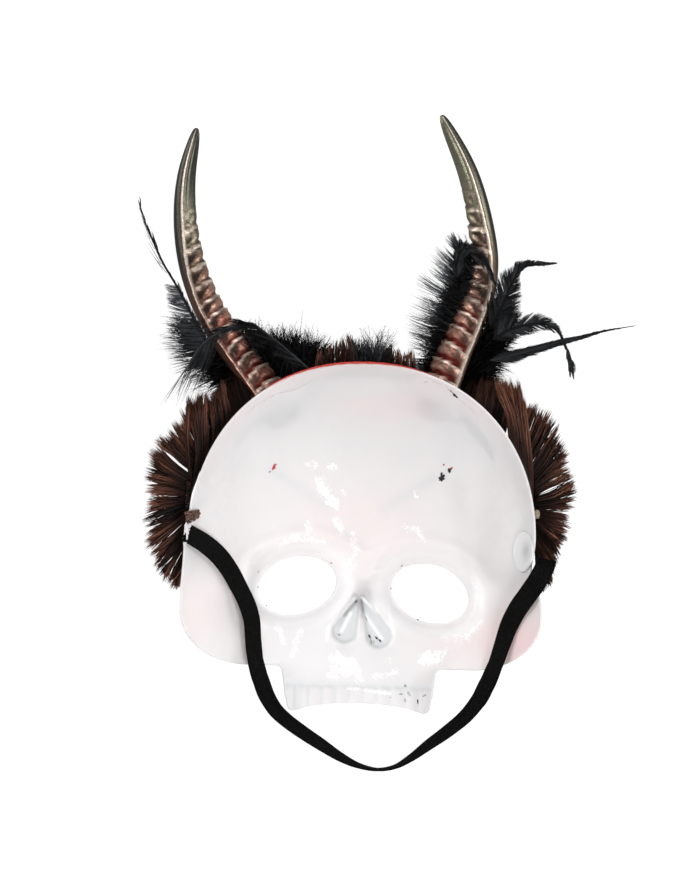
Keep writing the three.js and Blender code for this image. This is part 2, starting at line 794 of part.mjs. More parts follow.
// End of the fringe's woven tape, turned over the rim at the left temple
function makeTapeEnd() {
  const width = 6.6;
  const thickness = 0.9;
  const line = [
    innerPoint(-87.2, 34.6, 1.2),
    innerPoint(-85.6, 34.9, 1.2),
    innerPoint(-84.0, 35.4, 1.2),
    innerPoint(-82.2, 36.1, 1.3),
  ];
  const rings = line.map((point) => {
    const normal = innerNormal(point.x, point.y);
    const along = new THREE.Vector3(1, 0.3, 0).projectOnPlane(normal).normalize();
    const side = normal.clone().cross(along);
    return [[-1, -1], [1, -1], [1, 1], [-1, 1]].map(([u, v]) => point.clone()
      .addScaledVector(side, (u * width) / 2)
      .addScaledVector(normal, (v * thickness) / 2));
  });
  return loft(rings);
}

const finish = (color, roughness, metalness) => new THREE.MeshStandardMaterial({ color, roughness, metalness });
const plastic = finish(0xf0ebea, 0.2, 0);
const horn = finish(0x6e4034, 0.35, 0.6);
const bristle = finish(0x3a1c12, 0.8, 0);
const down = finish(0x0b0b0d, 0.7, 0);
const elastic = finish(0x0d0e0d, 0.85, 0);
const clear = finish(0xe6e6e6, 0.25, 0);
const tape = finish(0x5b4436, 0.9, 0);

const mask = new THREE.Group();

function add(name, geometry, material) {
  const mesh = new THREE.Mesh(geometry, material);
  mesh.name = name;
  mask.add(mesh);
  return mesh;
}

const insideSpace = makeInsideSpace();
add("mask_shell", geometryOfSolid(makeShell()), plastic);
add("horn_left", geometryOfSolid(makeHorn(HORN_ROUTES.left, insideSpace)), horn);
add("horn_right", geometryOfSolid(makeHorn(HORN_ROUTES.right, insideSpace)), horn);
for (const [name, fringe] of Object.entries(FRINGES)) {
  add(name, geometryOfSolid(makeFringe(fringe, insideSpace)), bristle);
}
for (const [name, feather] of Object.entries(FEATHERS)) {
  add(name, geometryOfSolid(makeFeather(feather, insideSpace)), down);
}
add("fringe_tape_end", makeTapeEnd(), tape);

const rivet = add("strap_rivet", makeRivet(), clear);
rivet.position.copy(innerPoint(RIVET_X, RIVET_Y, 1.5));
rivet.quaternion.setFromUnitVectors(new THREE.Vector3(0, 0, 1), innerNormal(RIVET_X, RIVET_Y));

// The origin goes on the ground under the middle of the object's box, which the loose strap doesn't count in
const box = new THREE.Box3().setFromObject(mask, true);
add("elastic_strap", makeStrap(), elastic);
mask.position.set(-(box.min.x + box.max.x) / 2, -(box.min.y + box.max.y) / 2, -box.min.z);

export default mask;
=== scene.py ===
import math

import bpy
import numpy as np
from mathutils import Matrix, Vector, noise
from mathutils.geometry import delaunay_2d_cdt


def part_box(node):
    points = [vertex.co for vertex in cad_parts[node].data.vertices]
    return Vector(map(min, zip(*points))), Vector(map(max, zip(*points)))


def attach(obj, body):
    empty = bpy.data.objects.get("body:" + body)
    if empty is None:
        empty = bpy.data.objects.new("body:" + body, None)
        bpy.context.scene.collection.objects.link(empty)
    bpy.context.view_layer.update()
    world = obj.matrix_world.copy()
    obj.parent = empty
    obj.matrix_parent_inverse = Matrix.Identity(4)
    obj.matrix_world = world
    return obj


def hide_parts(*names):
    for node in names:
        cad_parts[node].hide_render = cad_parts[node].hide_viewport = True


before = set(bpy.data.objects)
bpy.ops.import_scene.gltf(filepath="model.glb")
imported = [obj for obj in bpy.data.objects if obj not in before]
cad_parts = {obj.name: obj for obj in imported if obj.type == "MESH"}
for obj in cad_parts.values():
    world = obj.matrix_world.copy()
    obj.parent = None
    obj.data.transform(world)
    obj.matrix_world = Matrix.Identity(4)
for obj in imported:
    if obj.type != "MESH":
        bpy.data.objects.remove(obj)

# A half skull mask that lies face down on a pale floor, seen from straight above.
# Sizes are in millimetres, as on the part's drawing: X to the wearer's right, Y towards the horns, Z up.
bpy.ops.object.select_all(action="DESELECT")
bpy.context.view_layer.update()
MM = 0.001
SHELL_TOP_Y = 113.2
shell_low, shell_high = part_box("mask_shell")
SHIFT = np.array([(shell_low.x + shell_high.x) / 2 / MM, shell_high.y / MM - SHELL_TOP_Y, 0.0])


def in_frame(points):
    """Points of the drawing, in millimetres, as points of the frame, in metres"""
    return (np.asarray(points, float) + SHIFT) * MM


# Camera: straight down, turned by the small angle at which the mask was laid
CAMERA_SPOT = (-7.56, 74.83, 0)
CAMERA_DISTANCE = 6.0
SUBJECT_LEVEL = 0.03
PICTURE_HEIGHT = 0.44
PICTURE_TURN = 1.5
SENSOR = 36

spot = in_frame(CAMERA_SPOT)
bpy.ops.object.camera_add(
    location=(spot[0], spot[1], CAMERA_DISTANCE + SUBJECT_LEVEL),
    rotation=(0, 0, math.radians(PICTURE_TURN)),
)
camera = bpy.context.object
camera.data.sensor_width = SENSOR
camera.data.lens = SENSOR * CAMERA_DISTANCE / PICTURE_HEIGHT
bpy.context.scene.camera = camera
bpy.context.scene.view_settings.view_transform = "Standard"

# Strap: the route of its middle line and the lean of its width from the ground, 90 where it stands on edge
STRAP_WIDTH = 10
STRAP_THICKNESS = 1.2
STRAP_ROUTE = [
    (-88.4, 27, 58.8, 36), (-79, 21.6, 48, 31), (-71.6, 15.4, 38, 31), (-66, 8.2, 30.6, 34),
    (-61.2, -0.2, 25.6, 36), (-57, -8.4, 24, 36), (-54.4, -16.6, 21.6, 38), (-53.4, -26.4, 21.2, 40),
    (-52, -36.6, 23.6, 42), (-49.2, -46.2, 17.6, 45), (-45.4, -55.4, 9.4, 46), (-41.2, -61.8, 5.8, 47),
    (-36.2, -66.4, 4.5, 49), (-28.6, -71.8, 4.5, 52), (-18.4, -78.2, 4.8, 57), (-8.2, -84.4, 5.2, 68),
    (0.8, -88.4, 5.3, 80), (10.6, -90.2, 5.3, 88), (19.2, -88.6, 5.3, 84), (27.2, -83.9, 5.2, 74),
    (35.8, -77.2, 5, 63), (44.8, -70.4, 4.9, 56), (53.6, -62.6, 7.4, 52), (59.8, -54.4, 13.4, 51),
    (64, -46, 23.4, 50), (67.6, -36.8, 31.6, 48), (71, -26, 33.2, 41), (74, -16.4, 36, 32),
    (78.2, -7.4, 44.2, 26), (83, 0.2, 55.6, 21), (87.4, 7.2, 63, 12), (90.6, 13.4, 61.8, 4),
    (91.8, 18, 56.6, 0),
]


# Curves and small mathematics
def smoothstep(start, end, value):
    t = np.clip((np.asarray(value, float) - start) / (end - start), 0, 1)
    return t * t * (3 - 2 * t)


def bell(u, v=0.0):
    return np.exp(-u * u - v * v)


def unit(vectors):
    return vectors / np.maximum(np.linalg.norm(vectors, axis=-1, keepdims=True), 1e-9)


def smooth_line(points, shares):
    """A smooth curve through points, at shares of its parameter from 0 to 1"""
    points = np.asarray(points, float)
    spans = len(points) - 1
    padded = np.vstack([2 * points[0] - points[1], points, 2 * points[-1] - points[-2]])
    place = np.clip(np.asarray(shares, float), 0, 1) * spans
    index = np.minimum(place.astype(int), spans - 1)
    w = (place - index)[..., None]
    p0, p1, p2, p3 = (padded[index + k] for k in range(4))
    gaps = ((p0, p1), (p1, p2), (p2, p3))
    d0, d1, d2 = (np.sqrt(np.linalg.norm(b - a, axis=-1, keepdims=True)) for a, b in gaps)
    t1 = ((p1 - p0) / d0 - (p2 - p0) / (d0 + d1) + (p2 - p1) / d1) * d1
    t2 = ((p2 - p1) / d1 - (p3 - p1) / (d1 + d2) + (p3 - p2) / d2) * d1
    c2 = -3 * p1 + 3 * p2 - 2 * t1 - t2
    c3 = 2 * p1 - 2 * p2 + t1 + t2
    return p1 + t1 * w + c2 * w**2 + c3 * w**3


def even_line(points, shares):
    """The same curve at shares of its length, and the length"""
    fine = smooth_line(points, np.linspace(0, 1, 2001))
    run = np.concatenate([[0], np.cumsum(np.linalg.norm(np.diff(fine, axis=0), axis=1))])
    at = np.asarray(shares, float) * run[-1]
    return np.stack([np.interp(at, run, fine[:, k]) for k in range(3)], axis=-1), run[-1]


def along_profile(values, shares):
    """Numbers spread evenly from 0 to 1, read between"""
    return np.interp(shares, np.linspace(0, 1, len(values)), values)


# The shell's shape, as on the drawing
WALL = 1.0
BOWL_DEPTH = 85
BOWL_POWER = 2.2
RIM_HALF_WIDTH = 86.3
RIM_TOP_HEIGHT = 88.2
RIM_CENTRE_Y = 25
RIM_POWER = 2.15
RIM_FRACTION = 0.945
FACE_LIFT = 3.6
EYES = [(-32.1, 1.2, 16), (34.4, -1.1, -17)]
EYE_HALF_WIDTH = 19.9
EYE_HALF_HEIGHT = 14.6
NOSTRILS = [((-2.1, -4.0), (-7.6, -20.7), 7.0), ((1.0, -3.9), (9.5, -22.6), 7.3)]
NOSTRIL_DEPTH = 4.0
TOOTH_PITCH = 6.9
TOOTH_VALLEY_X = 2.3
TOOTH_TOP_Y = -48.5
TOOTH_ROW_HALF_WIDTH = 36
HORN_SEATS = [(-44.5, 91), (39.5, 93.5)]
HORN_SEAT_LIFT = 1.4


def ellipse_distance(x, y, shape, half_width, half_height):
    centre_x, centre_y, turn = shape
    turn = math.radians(turn)
    dx, dy = x - centre_x, y - centre_y
    along = dx * math.cos(turn) + dy * math.sin(turn)
    across = -dx * math.sin(turn) + dy * math.cos(turn)
    return np.hypot(along / half_width, across / half_height)


def half_width_at(y, side):
    left = RIM_HALF_WIDTH + 2.8 * smoothstep(48, 24, y) + 1.4 * smoothstep(20, -10, y)
    right = RIM_HALF_WIDTH - 1.6 * bell((y - 13) / 8) + 4.2 * smoothstep(14, -9, y)
    return np.where(np.asarray(side) < 0, left, right)


def rim_fraction(x, y):
    across = np.abs(x) / half_width_at(y, x)
    up = np.maximum(y - RIM_CENTRE_Y, 0) / RIM_TOP_HEIGHT
    return (across**RIM_POWER + up**RIM_POWER) ** (1 / RIM_POWER)


def bowl_height(x, y):
    r = np.minimum(RIM_FRACTION * rim_fraction(x, y), 0.992)
    return BOWL_DEPTH * (1 - np.sqrt(1 - r**BOWL_POWER))


def eye_relief(x, y):
    height = 0
    for eye in EYES:
        d = ellipse_distance(x, y, eye, EYE_HALF_WIDTH, EYE_HALF_HEIGHT)
        above = smoothstep(eye[1] - 4, eye[1] + 9, y)
        height = height + 6.5 * smoothstep(1.5, 1.0, d) - 3.2 * above * bell((d - 1.72) / 0.27)
    return height


def nostril_distance(x, y):
    """0 along the middle of a pear-shaped half of the nose, 1 at its edge"""
    gaps = []
    for (top_x, top_y), (low_x, low_y), low_radius in NOSTRILS:
        run_x, run_y = low_x - top_x, low_y - top_y
        share = np.clip(((x - top_x) * run_x + (y - top_y) * run_y) / (run_x**2 + run_y**2), 0, 1)
        radius = 1.0 + (low_radius - 1.0) * share
        gaps.append(np.hypot(x - top_x - share * run_x, y - top_y - share * run_y) / radius)
    return np.minimum(*gaps)


def nose_relief(x, y):
    bridge = 2.4 * bell(x / 8, (y - 3) / 7)
    return bridge + NOSTRIL_DEPTH * smoothstep(1.1, 0.72, nostril_distance(x, y))


def jaw_relief(x, y):
    side = np.abs(x)
    muzzle = -2.6 * bell(x / 30, (y + 47) / 15)
    arch = 9 * smoothstep(25, 41, side) * smoothstep(-37, -47, y)
    in_row = smoothstep(TOOTH_TOP_Y + 1, TOOTH_TOP_Y - 1.5, y) * (side < TOOTH_ROW_HALF_WIDTH)
    teeth = -0.9 * in_row * np.abs(np.sin(math.pi * (x - TOOTH_VALLEY_X) / TOOTH_PITCH))
    gum = 0.8 * bell((y - TOOTH_TOP_Y) / 1.8) * smoothstep(39, 34, side)
    return muzzle + arch + teeth + gum


def side_relief(x, y):
    side = np.abs(x)
    cheek = -3.4 * bell((side - 62) / 13, (y + 16) / 11)
    under_cheek = 3.6 * bell((side - 47) / 9, (y + 37) / 9)
    temple = 4.2 * bell((side - 69) / 9, (y - 30) / 19)
    socket_side = -2.2 * bell((side - 57) / 4.5, (y - 14) / 15)
    return cheek + under_cheek + temple + socket_side


def seat_relief(x, y):
    lift = np.zeros_like(np.asarray(x, float))
    bowl = bowl_height(x, y)
    for seat_x, seat_y in HORN_SEATS:
        height = bowl_height(seat_x, seat_y)
        slope_x = (bowl_height(seat_x + 0.5, seat_y) - height) / 0.5
        slope_y = (bowl_height(seat_x, seat_y + 0.5) - height) / 0.5
        plane = height + HORN_SEAT_LIFT + slope_x * (x - seat_x) + slope_y * (y - seat_y)
        raised = np.minimum(plane - bowl, HORN_SEAT_LIFT)
        lift = np.where(np.sign(x) == np.sign(seat_x), np.maximum(lift, raised), lift)
    return lift


def inner_height(x, y):
    """Height of the mask's inner surface over the ground"""
    relief = eye_relief(x, y) + nose_relief(x, y) + jaw_relief(x, y) + side_relief(x, y) + seat_relief(x, y)
    return np.maximum(bowl_height(x, y) + FACE_LIFT + relief, WALL)


def inner_slope(x, y, step=0.6):
    slope_x = (inner_height(x + step, y) - inner_height(x - step, y)) / (2 * step)
    slope_y = (inner_height(x, y + step) - inner_height(x, y - step)) / (2 * step)
    return slope_x, slope_y


def on_inside(x, y, lift=0.0):
    """Points on the inner surface, lifted off it along its normal, and the normals"""
    x, y = np.asarray(x, float), np.asarray(y, float)
    slope_x, slope_y = inner_slope(x, y)
    normal = unit(np.stack([-slope_x, -slope_y, np.ones_like(slope_x)], axis=-1))
    return np.stack([x, y, inner_height(x, y)], axis=-1) + normal * np.asarray(lift)[..., None], normal


def keep_outside(points, gap=0.5):
    """Moves what would stand in the shell or inside it down to the shell's outer face"""
    x, y = points[..., 0], points[..., 1]
    slope_x, slope_y = inner_slope(x, y)
    under = inner_height(x, y) - (WALL + gap) * np.sqrt(1 + slope_x**2 + slope_y**2)
    covered = rim_fraction(x, y) < 1.0
    lowered = points.copy()
    lowered[..., 2] = np.where(covered, np.minimum(points[..., 2], under), points[..., 2])
    lowered[..., 2] = np.maximum(lowered[..., 2], 0.3)
    return lowered


# Making meshes
def new_piece(name, vertices, faces):
    """A mesh piece from points in millimetres of the drawing"""
    mesh = bpy.data.meshes.new(name)
    mesh.from_pydata(in_frame(vertices).tolist(), [], [list(map(int, f)) for f in faces])
    piece = bpy.data.objects.new(name, mesh)
    bpy.context.scene.collection.objects.link(piece)
    return piece


def pick(piece):
    """Makes a piece the only selected and active one"""
    bpy.ops.object.select_all(action="DESELECT")
    piece.select_set(True)
    bpy.context.view_layer.objects.active = piece


def apply_modifiers(piece):
    pick(piece)
    for modifier in list(piece.modifiers):
        bpy.ops.object.modifier_apply(modifier=modifier.name)


def points_of(piece):
    flat = np.zeros(len(piece.data.vertices) * 3)
    piece.data.vertices.foreach_get("co", flat)
    return flat.reshape(-1, 3)


def reshape(piece, points):
    """Gives a piece's vertices new places, in millimetres of the drawing"""
    piece.data.vertices.foreach_set("co", in_frame(points).ravel())
    piece.data.update()


def mark(piece, name, values):
    """Stores a number for each vertex, for the material to read"""
    layer = piece.data.attributes.new(name, "FLOAT", "POINT")
    layer.data.foreach_set("value", np.asarray(values, np.float32))


def settle(piece, *finishes, nodes=(), slot=None):
    """Gives a piece its materials and its body, and hides the parts it stands for"""
    for finish in finishes:
        piece.data.materials.append(finish.material)
    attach(piece, "root")
    if nodes:
        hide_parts(*nodes)


# Materials
def tone(red, green, blue):
    """A colour as it looks, 0 to 255, in the shader's linear numbers"""
    linear = [((c / 255 + 0.055) / 1.055) ** 2.4 if c > 10 else c / 255 / 12.92 for c in (red, green, blue)]
    return (*linear, 1.0)


class Value:
    """An output of a material's node. Arithmetic on it adds the nodes that work it out."""

    def __init__(self, finish, socket):
        self.finish = finish
        self.socket = socket

    def worked(self, operation, first, second):
        return self.finish.node("ShaderNodeMath", {"operation": operation}, {0: first, 1: second})

    def __add__(self, other):
        return self.worked("ADD", self, other)

    def __radd__(self, other):
        return self.worked("ADD", other, self)

    def __sub__(self, other):
        return self.worked("SUBTRACT", self, other)

    def __rsub__(self, other):
        return self.worked("SUBTRACT", other, self)

    def __mul__(self, other):
        return self.worked("MULTIPLY", self, other)

    def __rmul__(self, other):
        return self.worked("MULTIPLY", other, self)

    def __pow__(self, other):
        return self.worked("POWER", self, other)


class Finish:
    """A material: the shader's fixed settings, and nodes that vary it over the surface"""

    def __init__(self, name, fixed):
        self.material = bpy.data.materials.new(name)
        self.material.use_nodes = True
        self.tree = self.material.node_tree
        self.shader = self.tree.nodes["Principled BSDF"]
        for socket, value in fixed.items():
            self.shader.inputs[socket].default_value = value

    def feed(self, socket, value):
        if isinstance(value, Value):
            self.tree.links.new(value.socket, socket)
        else:
            socket.default_value = value

    def node(self, kind, settings=None, values=None, output=0):
        node = self.tree.nodes.new(kind)
        for name, setting in (settings or {}).items():
            if name == "stops":
                self.set_stops(node.color_ramp, setting)
            else:
                setattr(node, name, setting)
        for name, value in (values or {}).items():
            self.feed(node.inputs[name], value)
        return Value(self, node.outputs[output])

    @staticmethod
    def set_stops(ramp, stops):
        while len(ramp.elements) < len(stops):
            ramp.elements.new(0.5)
        for element, (position, colour) in zip(ramp.elements, stops):
            element.position = position
            element.color = colour

    def place(self):
        """Where a point is on the drawing, in millimetres"""
        at = self.node("ShaderNodeTexCoord", output="Object")
        scaled = self.node("ShaderNodeVectorMath", {"operation": "SCALE"}, {0: at, "Scale": 1 / MM})
        return self.node("ShaderNodeVectorMath", {"operation": "SUBTRACT"}, {0: scaled, 1: tuple(SHIFT)})

    def stretched(self, factors):
        return self.node("ShaderNodeVectorMath", {"operation": "MULTIPLY"}, {0: self.place(), 1: factors})

    def attribute(self, name):
        return self.node("ShaderNodeAttribute", {"attribute_name": name}, output="Fac")

    def noise(self, size, detail=2.0, roughness=0.5, at=None, distortion=0.0):
        values = {"Vector": at or self.place(), "Scale": 1 / size, "Detail": detail}
        values.update({"Roughness": roughness, "Distortion": distortion})
        return self.node("ShaderNodeTexNoise", None, values, output=0)

    def step(self, value, start, end):
        """0 below start, 1 above end, and smooth between"""
        settings = {"interpolation_type": "SMOOTHSTEP"}
        return self.node("ShaderNodeMapRange", settings, {"Value": value, "From Min": start, "From Max": end})

    def mix(self, factor, first, second):
        settings = {"data_type": "RGBA", "blend_type": "MIX", "clamp_factor": True}
        return self.node("ShaderNodeMix", settings, {0: factor, 6: first, 7: second}, output=2)

    def ramp(self, value, stops):
        return self.node("ShaderNodeValToRGB", {"stops": stops}, {"Fac": value})

    def set(self, **sockets):
        names = {"colour": "Base Color", "roughness": "Roughness", "metallic": "Metallic"}
        for key, value in sockets.items():
            self.feed(self.shader.inputs[names[key]], value)

    def bump(self, height, depth):
        """Raises the surface by depth millimetres where height is 1"""
        raised = self.node("ShaderNodeBump", None,
                           {"Height": height, "Distance": depth * MM, "Strength": 1.0})
        self.feed(self.shader.inputs["Normal"], raised)


# Spikes: one is modelled, and hair, bristles and barbs are copies of it laid along their own paths
def model_spike(sides, rings):
    """A pointed spike one unit long: a small face drawn out ring by ring and closed to a point"""
    bpy.ops.mesh.primitive_circle_add(vertices=sides, radius=1, fill_type="NGON")
    spike = bpy.context.object
    bpy.ops.object.mode_set(mode="EDIT")
    for _ in range(rings - 1):
        bpy.ops.mesh.extrude_region_move(TRANSFORM_OT_translate={"value": (0, 0, 1 / (rings - 1))})
    bpy.ops.mesh.merge(type="CENTER")
    bpy.ops.mesh.select_all(action="SELECT")
    bpy.ops.mesh.normals_make_consistent(inside=False)
    bpy.ops.mesh.quads_convert_to_tris()
    bpy.ops.object.mode_set(mode="OBJECT")
    corners = points_of(spike)
    faces = np.array([list(p.vertices) for p in spike.data.polygons])
    bpy.ops.object.delete()
    return corners, faces


SPIKES = {}


def spikes_along(paths, thickness, sides=3, flatten=1.0):
    """Copies of a spike along paths, one row of points each, with each vertex's path and reach"""
    paths = np.asarray(paths, float)
    count, rings = paths.shape[:2]
    if (sides, rings) not in SPIKES:
        SPIKES[sides, rings] = model_spike(sides, rings)
    corners, faces = SPIKES[sides, rings]
    ring = np.round(corners[:, 2] * (rings - 1)).astype(int)
    along = unit(np.gradient(paths, axis=1))
    level = unit(np.cross(along, [0.02, 0.03, 1.0]))
    upright = np.cross(level, along)
    width = np.broadcast_to(np.asarray(thickness, float), (count, rings)) / 2
    across = corners[:, 0][None, :, None] * level[:, ring]
    across = across + flatten * corners[:, 1][None, :, None] * upright[:, ring]
    vertices = paths[:, ring] + across * width[:, ring][..., None]
    joined = (faces[None] + (np.arange(count) * len(corners))[:, None, None]).reshape(-1, faces.shape[1])
    reach = np.tile(ring / (rings - 1), count)
    owner = np.repeat(np.arange(count), len(corners))
    return vertices.reshape(-1, 3), joined, owner, reach


class Bundle:
    """Gathers many spikes into one mesh, with a shade for each and its reach from root to tip"""

    def __init__(self):
        self.parts = []
        self.count = 0

    def add(self, paths, thickness, shade, sides=3, flatten=1.0):
        vertices, faces, owner, reach = spikes_along(paths, thickness, sides, flatten)
        shades = np.broadcast_to(np.asarray(shade, float), (len(paths),))[owner]
        self.parts.append((vertices, faces + self.count, shades, reach))
        self.count += len(vertices)

    def piece(self, name, outside=True):
        vertices, faces, shades, reach = (np.concatenate([p[k] for p in self.parts]) for k in range(4))
        vertices = keep_outside(vertices) if outside else vertices
        mesh = bpy.data.meshes.new(name)
        mesh.vertices.add(len(vertices))
        mesh.vertices.foreach_set("co", in_frame(vertices).ravel())
        mesh.loops.add(faces.size)
        mesh.loops.foreach_set("vertex_index", faces.ravel().astype(np.int32))
        mesh.polygons.add(len(faces))
        mesh.polygons.foreach_set("loop_start", np.arange(0, faces.size, 3, dtype=np.int32))
        mesh.update(calc_edges=True)
        mesh.validate()
        piece = bpy.data.objects.new(name, mesh)
        bpy.context.scene.collection.objects.link(piece)
        mark(piece, "shade", shades)
        mark(piece, "reach", reach)
        pick(piece)
        bpy.ops.object.shade_smooth()
        return piece


# Floor, surroundings and light
floor_paint = Finish("floor_paint", {"Roughness": 1.0, "Specular IOR Level": 0.0})
floor_grain = floor_paint.noise(40.0)
floor_paint.set(colour=floor_paint.mix(floor_grain, (0.2, 0.2, 0.2, 1), (0.24, 0.24, 0.24, 1)))
floor_paint.shader.inputs["Emission Color"].default_value = (1, 1, 1, 1)
floor_paint.shader.inputs["Emission Strength"].default_value = 0.9
bpy.ops.mesh.primitive_plane_add(size=8, location=(0, 0, -0.0002))
floor = bpy.context.object
floor.name = "floor"
floor.visible_glossy = False
floor.data.materials.append(floor_paint.material)

world = bpy.data.worlds.new("studio")
world.use_nodes = True
world.node_tree.nodes["Background"].inputs["Color"].default_value = (0.93, 0.94, 0.96, 1)
world.node_tree.nodes["Background"].inputs["Strength"].default_value = 0.2
bpy.context.scene.world = world


def softbox(name, tilt, towards, distance, size, power):
    """A soft light: tilt degrees off straight up, towards an angle on the ground, aimed at the mask"""
    target = Vector(in_frame((0, 40, 20)))
    lean, turn = math.radians(tilt), math.radians(towards)
    ray = Vector((math.sin(lean) * math.cos(turn), math.sin(lean) * math.sin(turn), math.cos(lean)))
    bpy.ops.object.light_add(type="AREA", location=target + ray * distance)
    light = bpy.context.object
    light.name = name
    light.rotation_euler = ray.to_track_quat("Z", "Y").to_euler()
    light.data.shape = "RECTANGLE"
    light.data.size, light.data.size_y = size
    light.data.energy = power
    light.visible_camera = False


softbox("key_softbox", 32, -55, 1.6, (0.55, 0.55), 13.5)
softbox("left_softbox", 60, 178, 1.8, (0.6, 1.6), 14)
softbox("right_softbox", 60, 5, 1.8, (0.6, 1.6), 12)
softbox("top_softbox", 52, 92, 1.8, (1.4, 0.5), 9)


# Finishes
inner_plastic = Finish("inner_white_plastic", {
    "IOR": 1.49, "Specular IOR Level": 0.5, "Subsurface Weight": 0.5, "Subsurface Scale": 4 * MM,
    "Subsurface Radius": (1.0, 0.85, 0.8),
})
pink = inner_plastic.attribute("pink")
grey = inner_plastic.attribute("grey")
blue = inner_plastic.attribute("blue")
sheen = inner_plastic.attribute("sheen")
cloud = inner_plastic.noise(26.0, 4.0, 0.55)
fine_cloud = inner_plastic.noise(5.0, 3.0, 0.6)
white = inner_plastic.mix(cloud, tone(222, 221, 222), tone(232, 230, 230))
blushed = inner_plastic.mix(pink * (0.45 + 1.1 * cloud), white, tone(238, 208, 208))
cooled = inner_plastic.mix(blue * (0.5 + 0.9 * fine_cloud), blushed, tone(196, 208, 212))
shaded = inner_plastic.mix(grey * (0.5 + fine_cloud), cooled, tone(122, 120, 122))
# Painted light: near white where the relief's shade round the eyes, nostrils and left wing is painted out,
# and painted highlights along the nose's ridges
lift = inner_plastic.attribute("lift")
painted_light_added = inner_plastic.mix(lift, shaded, tone(254, 252, 252))
# Glossy pools: lower roughness, and a painted highlight that whitens their colour
pool_shape = inner_plastic.noise(2.0, 4.0, 0.65, distortion=1.0)
gloss_highlight_pools = inner_plastic.step(sheen + 3.2 * pool_shape, 2.2, 2.65)
inner_plastic.set(
    colour=inner_plastic.mix(0.9 * gloss_highlight_pools, painted_light_added, tone(255, 252, 252)),
    roughness=0.5 - 0.38 * gloss_highlight_pools + 0.1 * fine_cloud,
)
inner_plastic.bump(inner_plastic.noise(2.6, 2.0, 0.5) + 1.5 * gloss_highlight_pools, 0.03)

outer_paint = Finish("outer_bone_paint", {"Roughness": 0.42, "Specular IOR Level": 0.45})
brushed = outer_paint.noise(9.0, 5.0, 0.62, at=outer_paint.stretched((1.0, 0.45, 1.0)))
stain = outer_paint.noise(30.0, 4.0, 0.6)
wash = outer_paint.attribute("wash")
dark = outer_paint.attribute("dark")
bone = outer_paint.mix(outer_paint.step(brushed, 0.35, 0.7), tone(226, 214, 190), tone(240, 234, 220))
stained = outer_paint.step(stain + 0.4 * brushed, 0.45, 0.85)
reddened = outer_paint.mix(wash * stained, bone, tone(150, 34, 26))
outer_paint.set(
    colour=outer_paint.mix(dark * (0.6 + 0.8 * brushed), reddened, tone(26, 20, 20)),
    roughness=0.34 + 0.3 * brushed,
)
outer_paint.bump(brushed, 0.12)

cut_edge = Finish("trimmed_edge", {"Roughness": 0.35})
edge_red = cut_edge.attribute("red_edge")
edge_cloud = cut_edge.noise(4.0, 3.0)
edge_plain = cut_edge.mix(edge_cloud, tone(240, 235, 233), tone(250, 247, 245))
# Painted shade on the eye holes' cut edges, darkest at their upper left
edge_eye_shaded = cut_edge.mix(cut_edge.attribute("eye_line"), edge_plain, tone(178, 182, 184))
edge_side = cut_edge.step(cut_edge.attribute("depth") + 0.3 * (edge_cloud - 0.5), 0.3, 0.5)
cut_edge.set(colour=cut_edge.mix(edge_red * edge_side, edge_eye_shaded, tone(196, 44, 36)))

horn_paint = Finish("antique_horn_paint", {"Roughness": 0.32, "Specular IOR Level": 0.5})
along_horn = horn_paint.attribute("along")
crease = horn_paint.attribute("crease")
lip = horn_paint.attribute("lip")
facet = horn_paint.attribute("facet")
flank = horn_paint.attribute("flank")
mottle = horn_paint.noise(5.0, 5.0, 0.62)
grain = horn_paint.noise(0.9, 3.0, 0.65)
bulge_red = horn_paint.ramp(along_horn, [
    (0.0, tone(204, 112, 90)), (0.35, tone(190, 110, 90)), (0.55, tone(160, 120, 100)),
    (0.8, tone(130, 130, 110)), (1.0, tone(128, 128, 108)),
])
bulge_tan = horn_paint.ramp(along_horn + 0.1 * (mottle - 0.5), [
    (0.0, tone(250, 204, 182)), (0.3, tone(244, 196, 174)), (0.5, tone(206, 168, 146)),
    (0.66, tone(160, 150, 128)), (0.8, tone(136, 136, 116)), (1.0, tone(128, 128, 108)),
])
bulge_colour = horn_paint.mix(horn_paint.step(mottle, 0.32, 0.62), bulge_red, bulge_tan)
# Painted shade: the darker colour of the rib facets that face away from the light
shaded_facet_colour = horn_paint.ramp(along_horn, [
    (0.0, tone(132, 96, 82)), (0.35, tone(88, 62, 54)), (0.6, tone(54, 46, 40)), (1.0, tone(84, 80, 66)),
])
crease_colour = horn_paint.ramp(along_horn, [
    (0.0, tone(106, 27, 18)), (0.3, tone(98, 27, 19)), (0.55, tone(52, 31, 24)), (0.8, tone(42, 40, 32)),
    (1.0, tone(70, 68, 56)),
])
flank_colour = horn_paint.ramp(along_horn, [
    (0.0, tone(168, 112, 92)), (0.35, tone(128, 92, 78)), (0.6, tone(70, 67, 60)), (1.0, tone(70, 71, 63)),
])
# Painted light on the right horn's flank, lightest next to the keel
painted_lit_flank_colour = horn_paint.ramp(along_horn, [
    (0.0, tone(206, 166, 142)), (0.4, tone(184, 156, 132)), (0.6, tone(150, 144, 124)),
    (1.0, tone(120, 120, 104)),
])
side_colour = horn_paint.mix(horn_paint.attribute("light_flank"), flank_colour, painted_lit_flank_colour)
ribbed = horn_paint.mix(facet * (0.8 + 0.35 * mottle), bulge_colour, shaded_facet_colour)
creased = horn_paint.mix(crease, ribbed, crease_colour)
# Darker towards the tip on the left horn, where it has no ribs
upper_darkened = horn_paint.mix(horn_paint.attribute("dull"), creased, tone(66, 66, 58))
two_tone = horn_paint.mix(flank, upper_darkened, side_colour)
# Painted highlights along the ribs' lips and the keel
lip_highlighted = horn_paint.mix(lip, two_tone, tone(255, 236, 218))
flecked = horn_paint.mix(0.45 * horn_paint.step(grain, 0.52, 0.62), lip_highlighted, tone(40, 28, 22))
horn_paint.set(
    colour=flecked,
    metallic=0.75 - 0.3 * lip,
    roughness=0.22 + 0.2 * grain + 0.2 * crease,
)
horn_paint.bump(grain, 0.09)

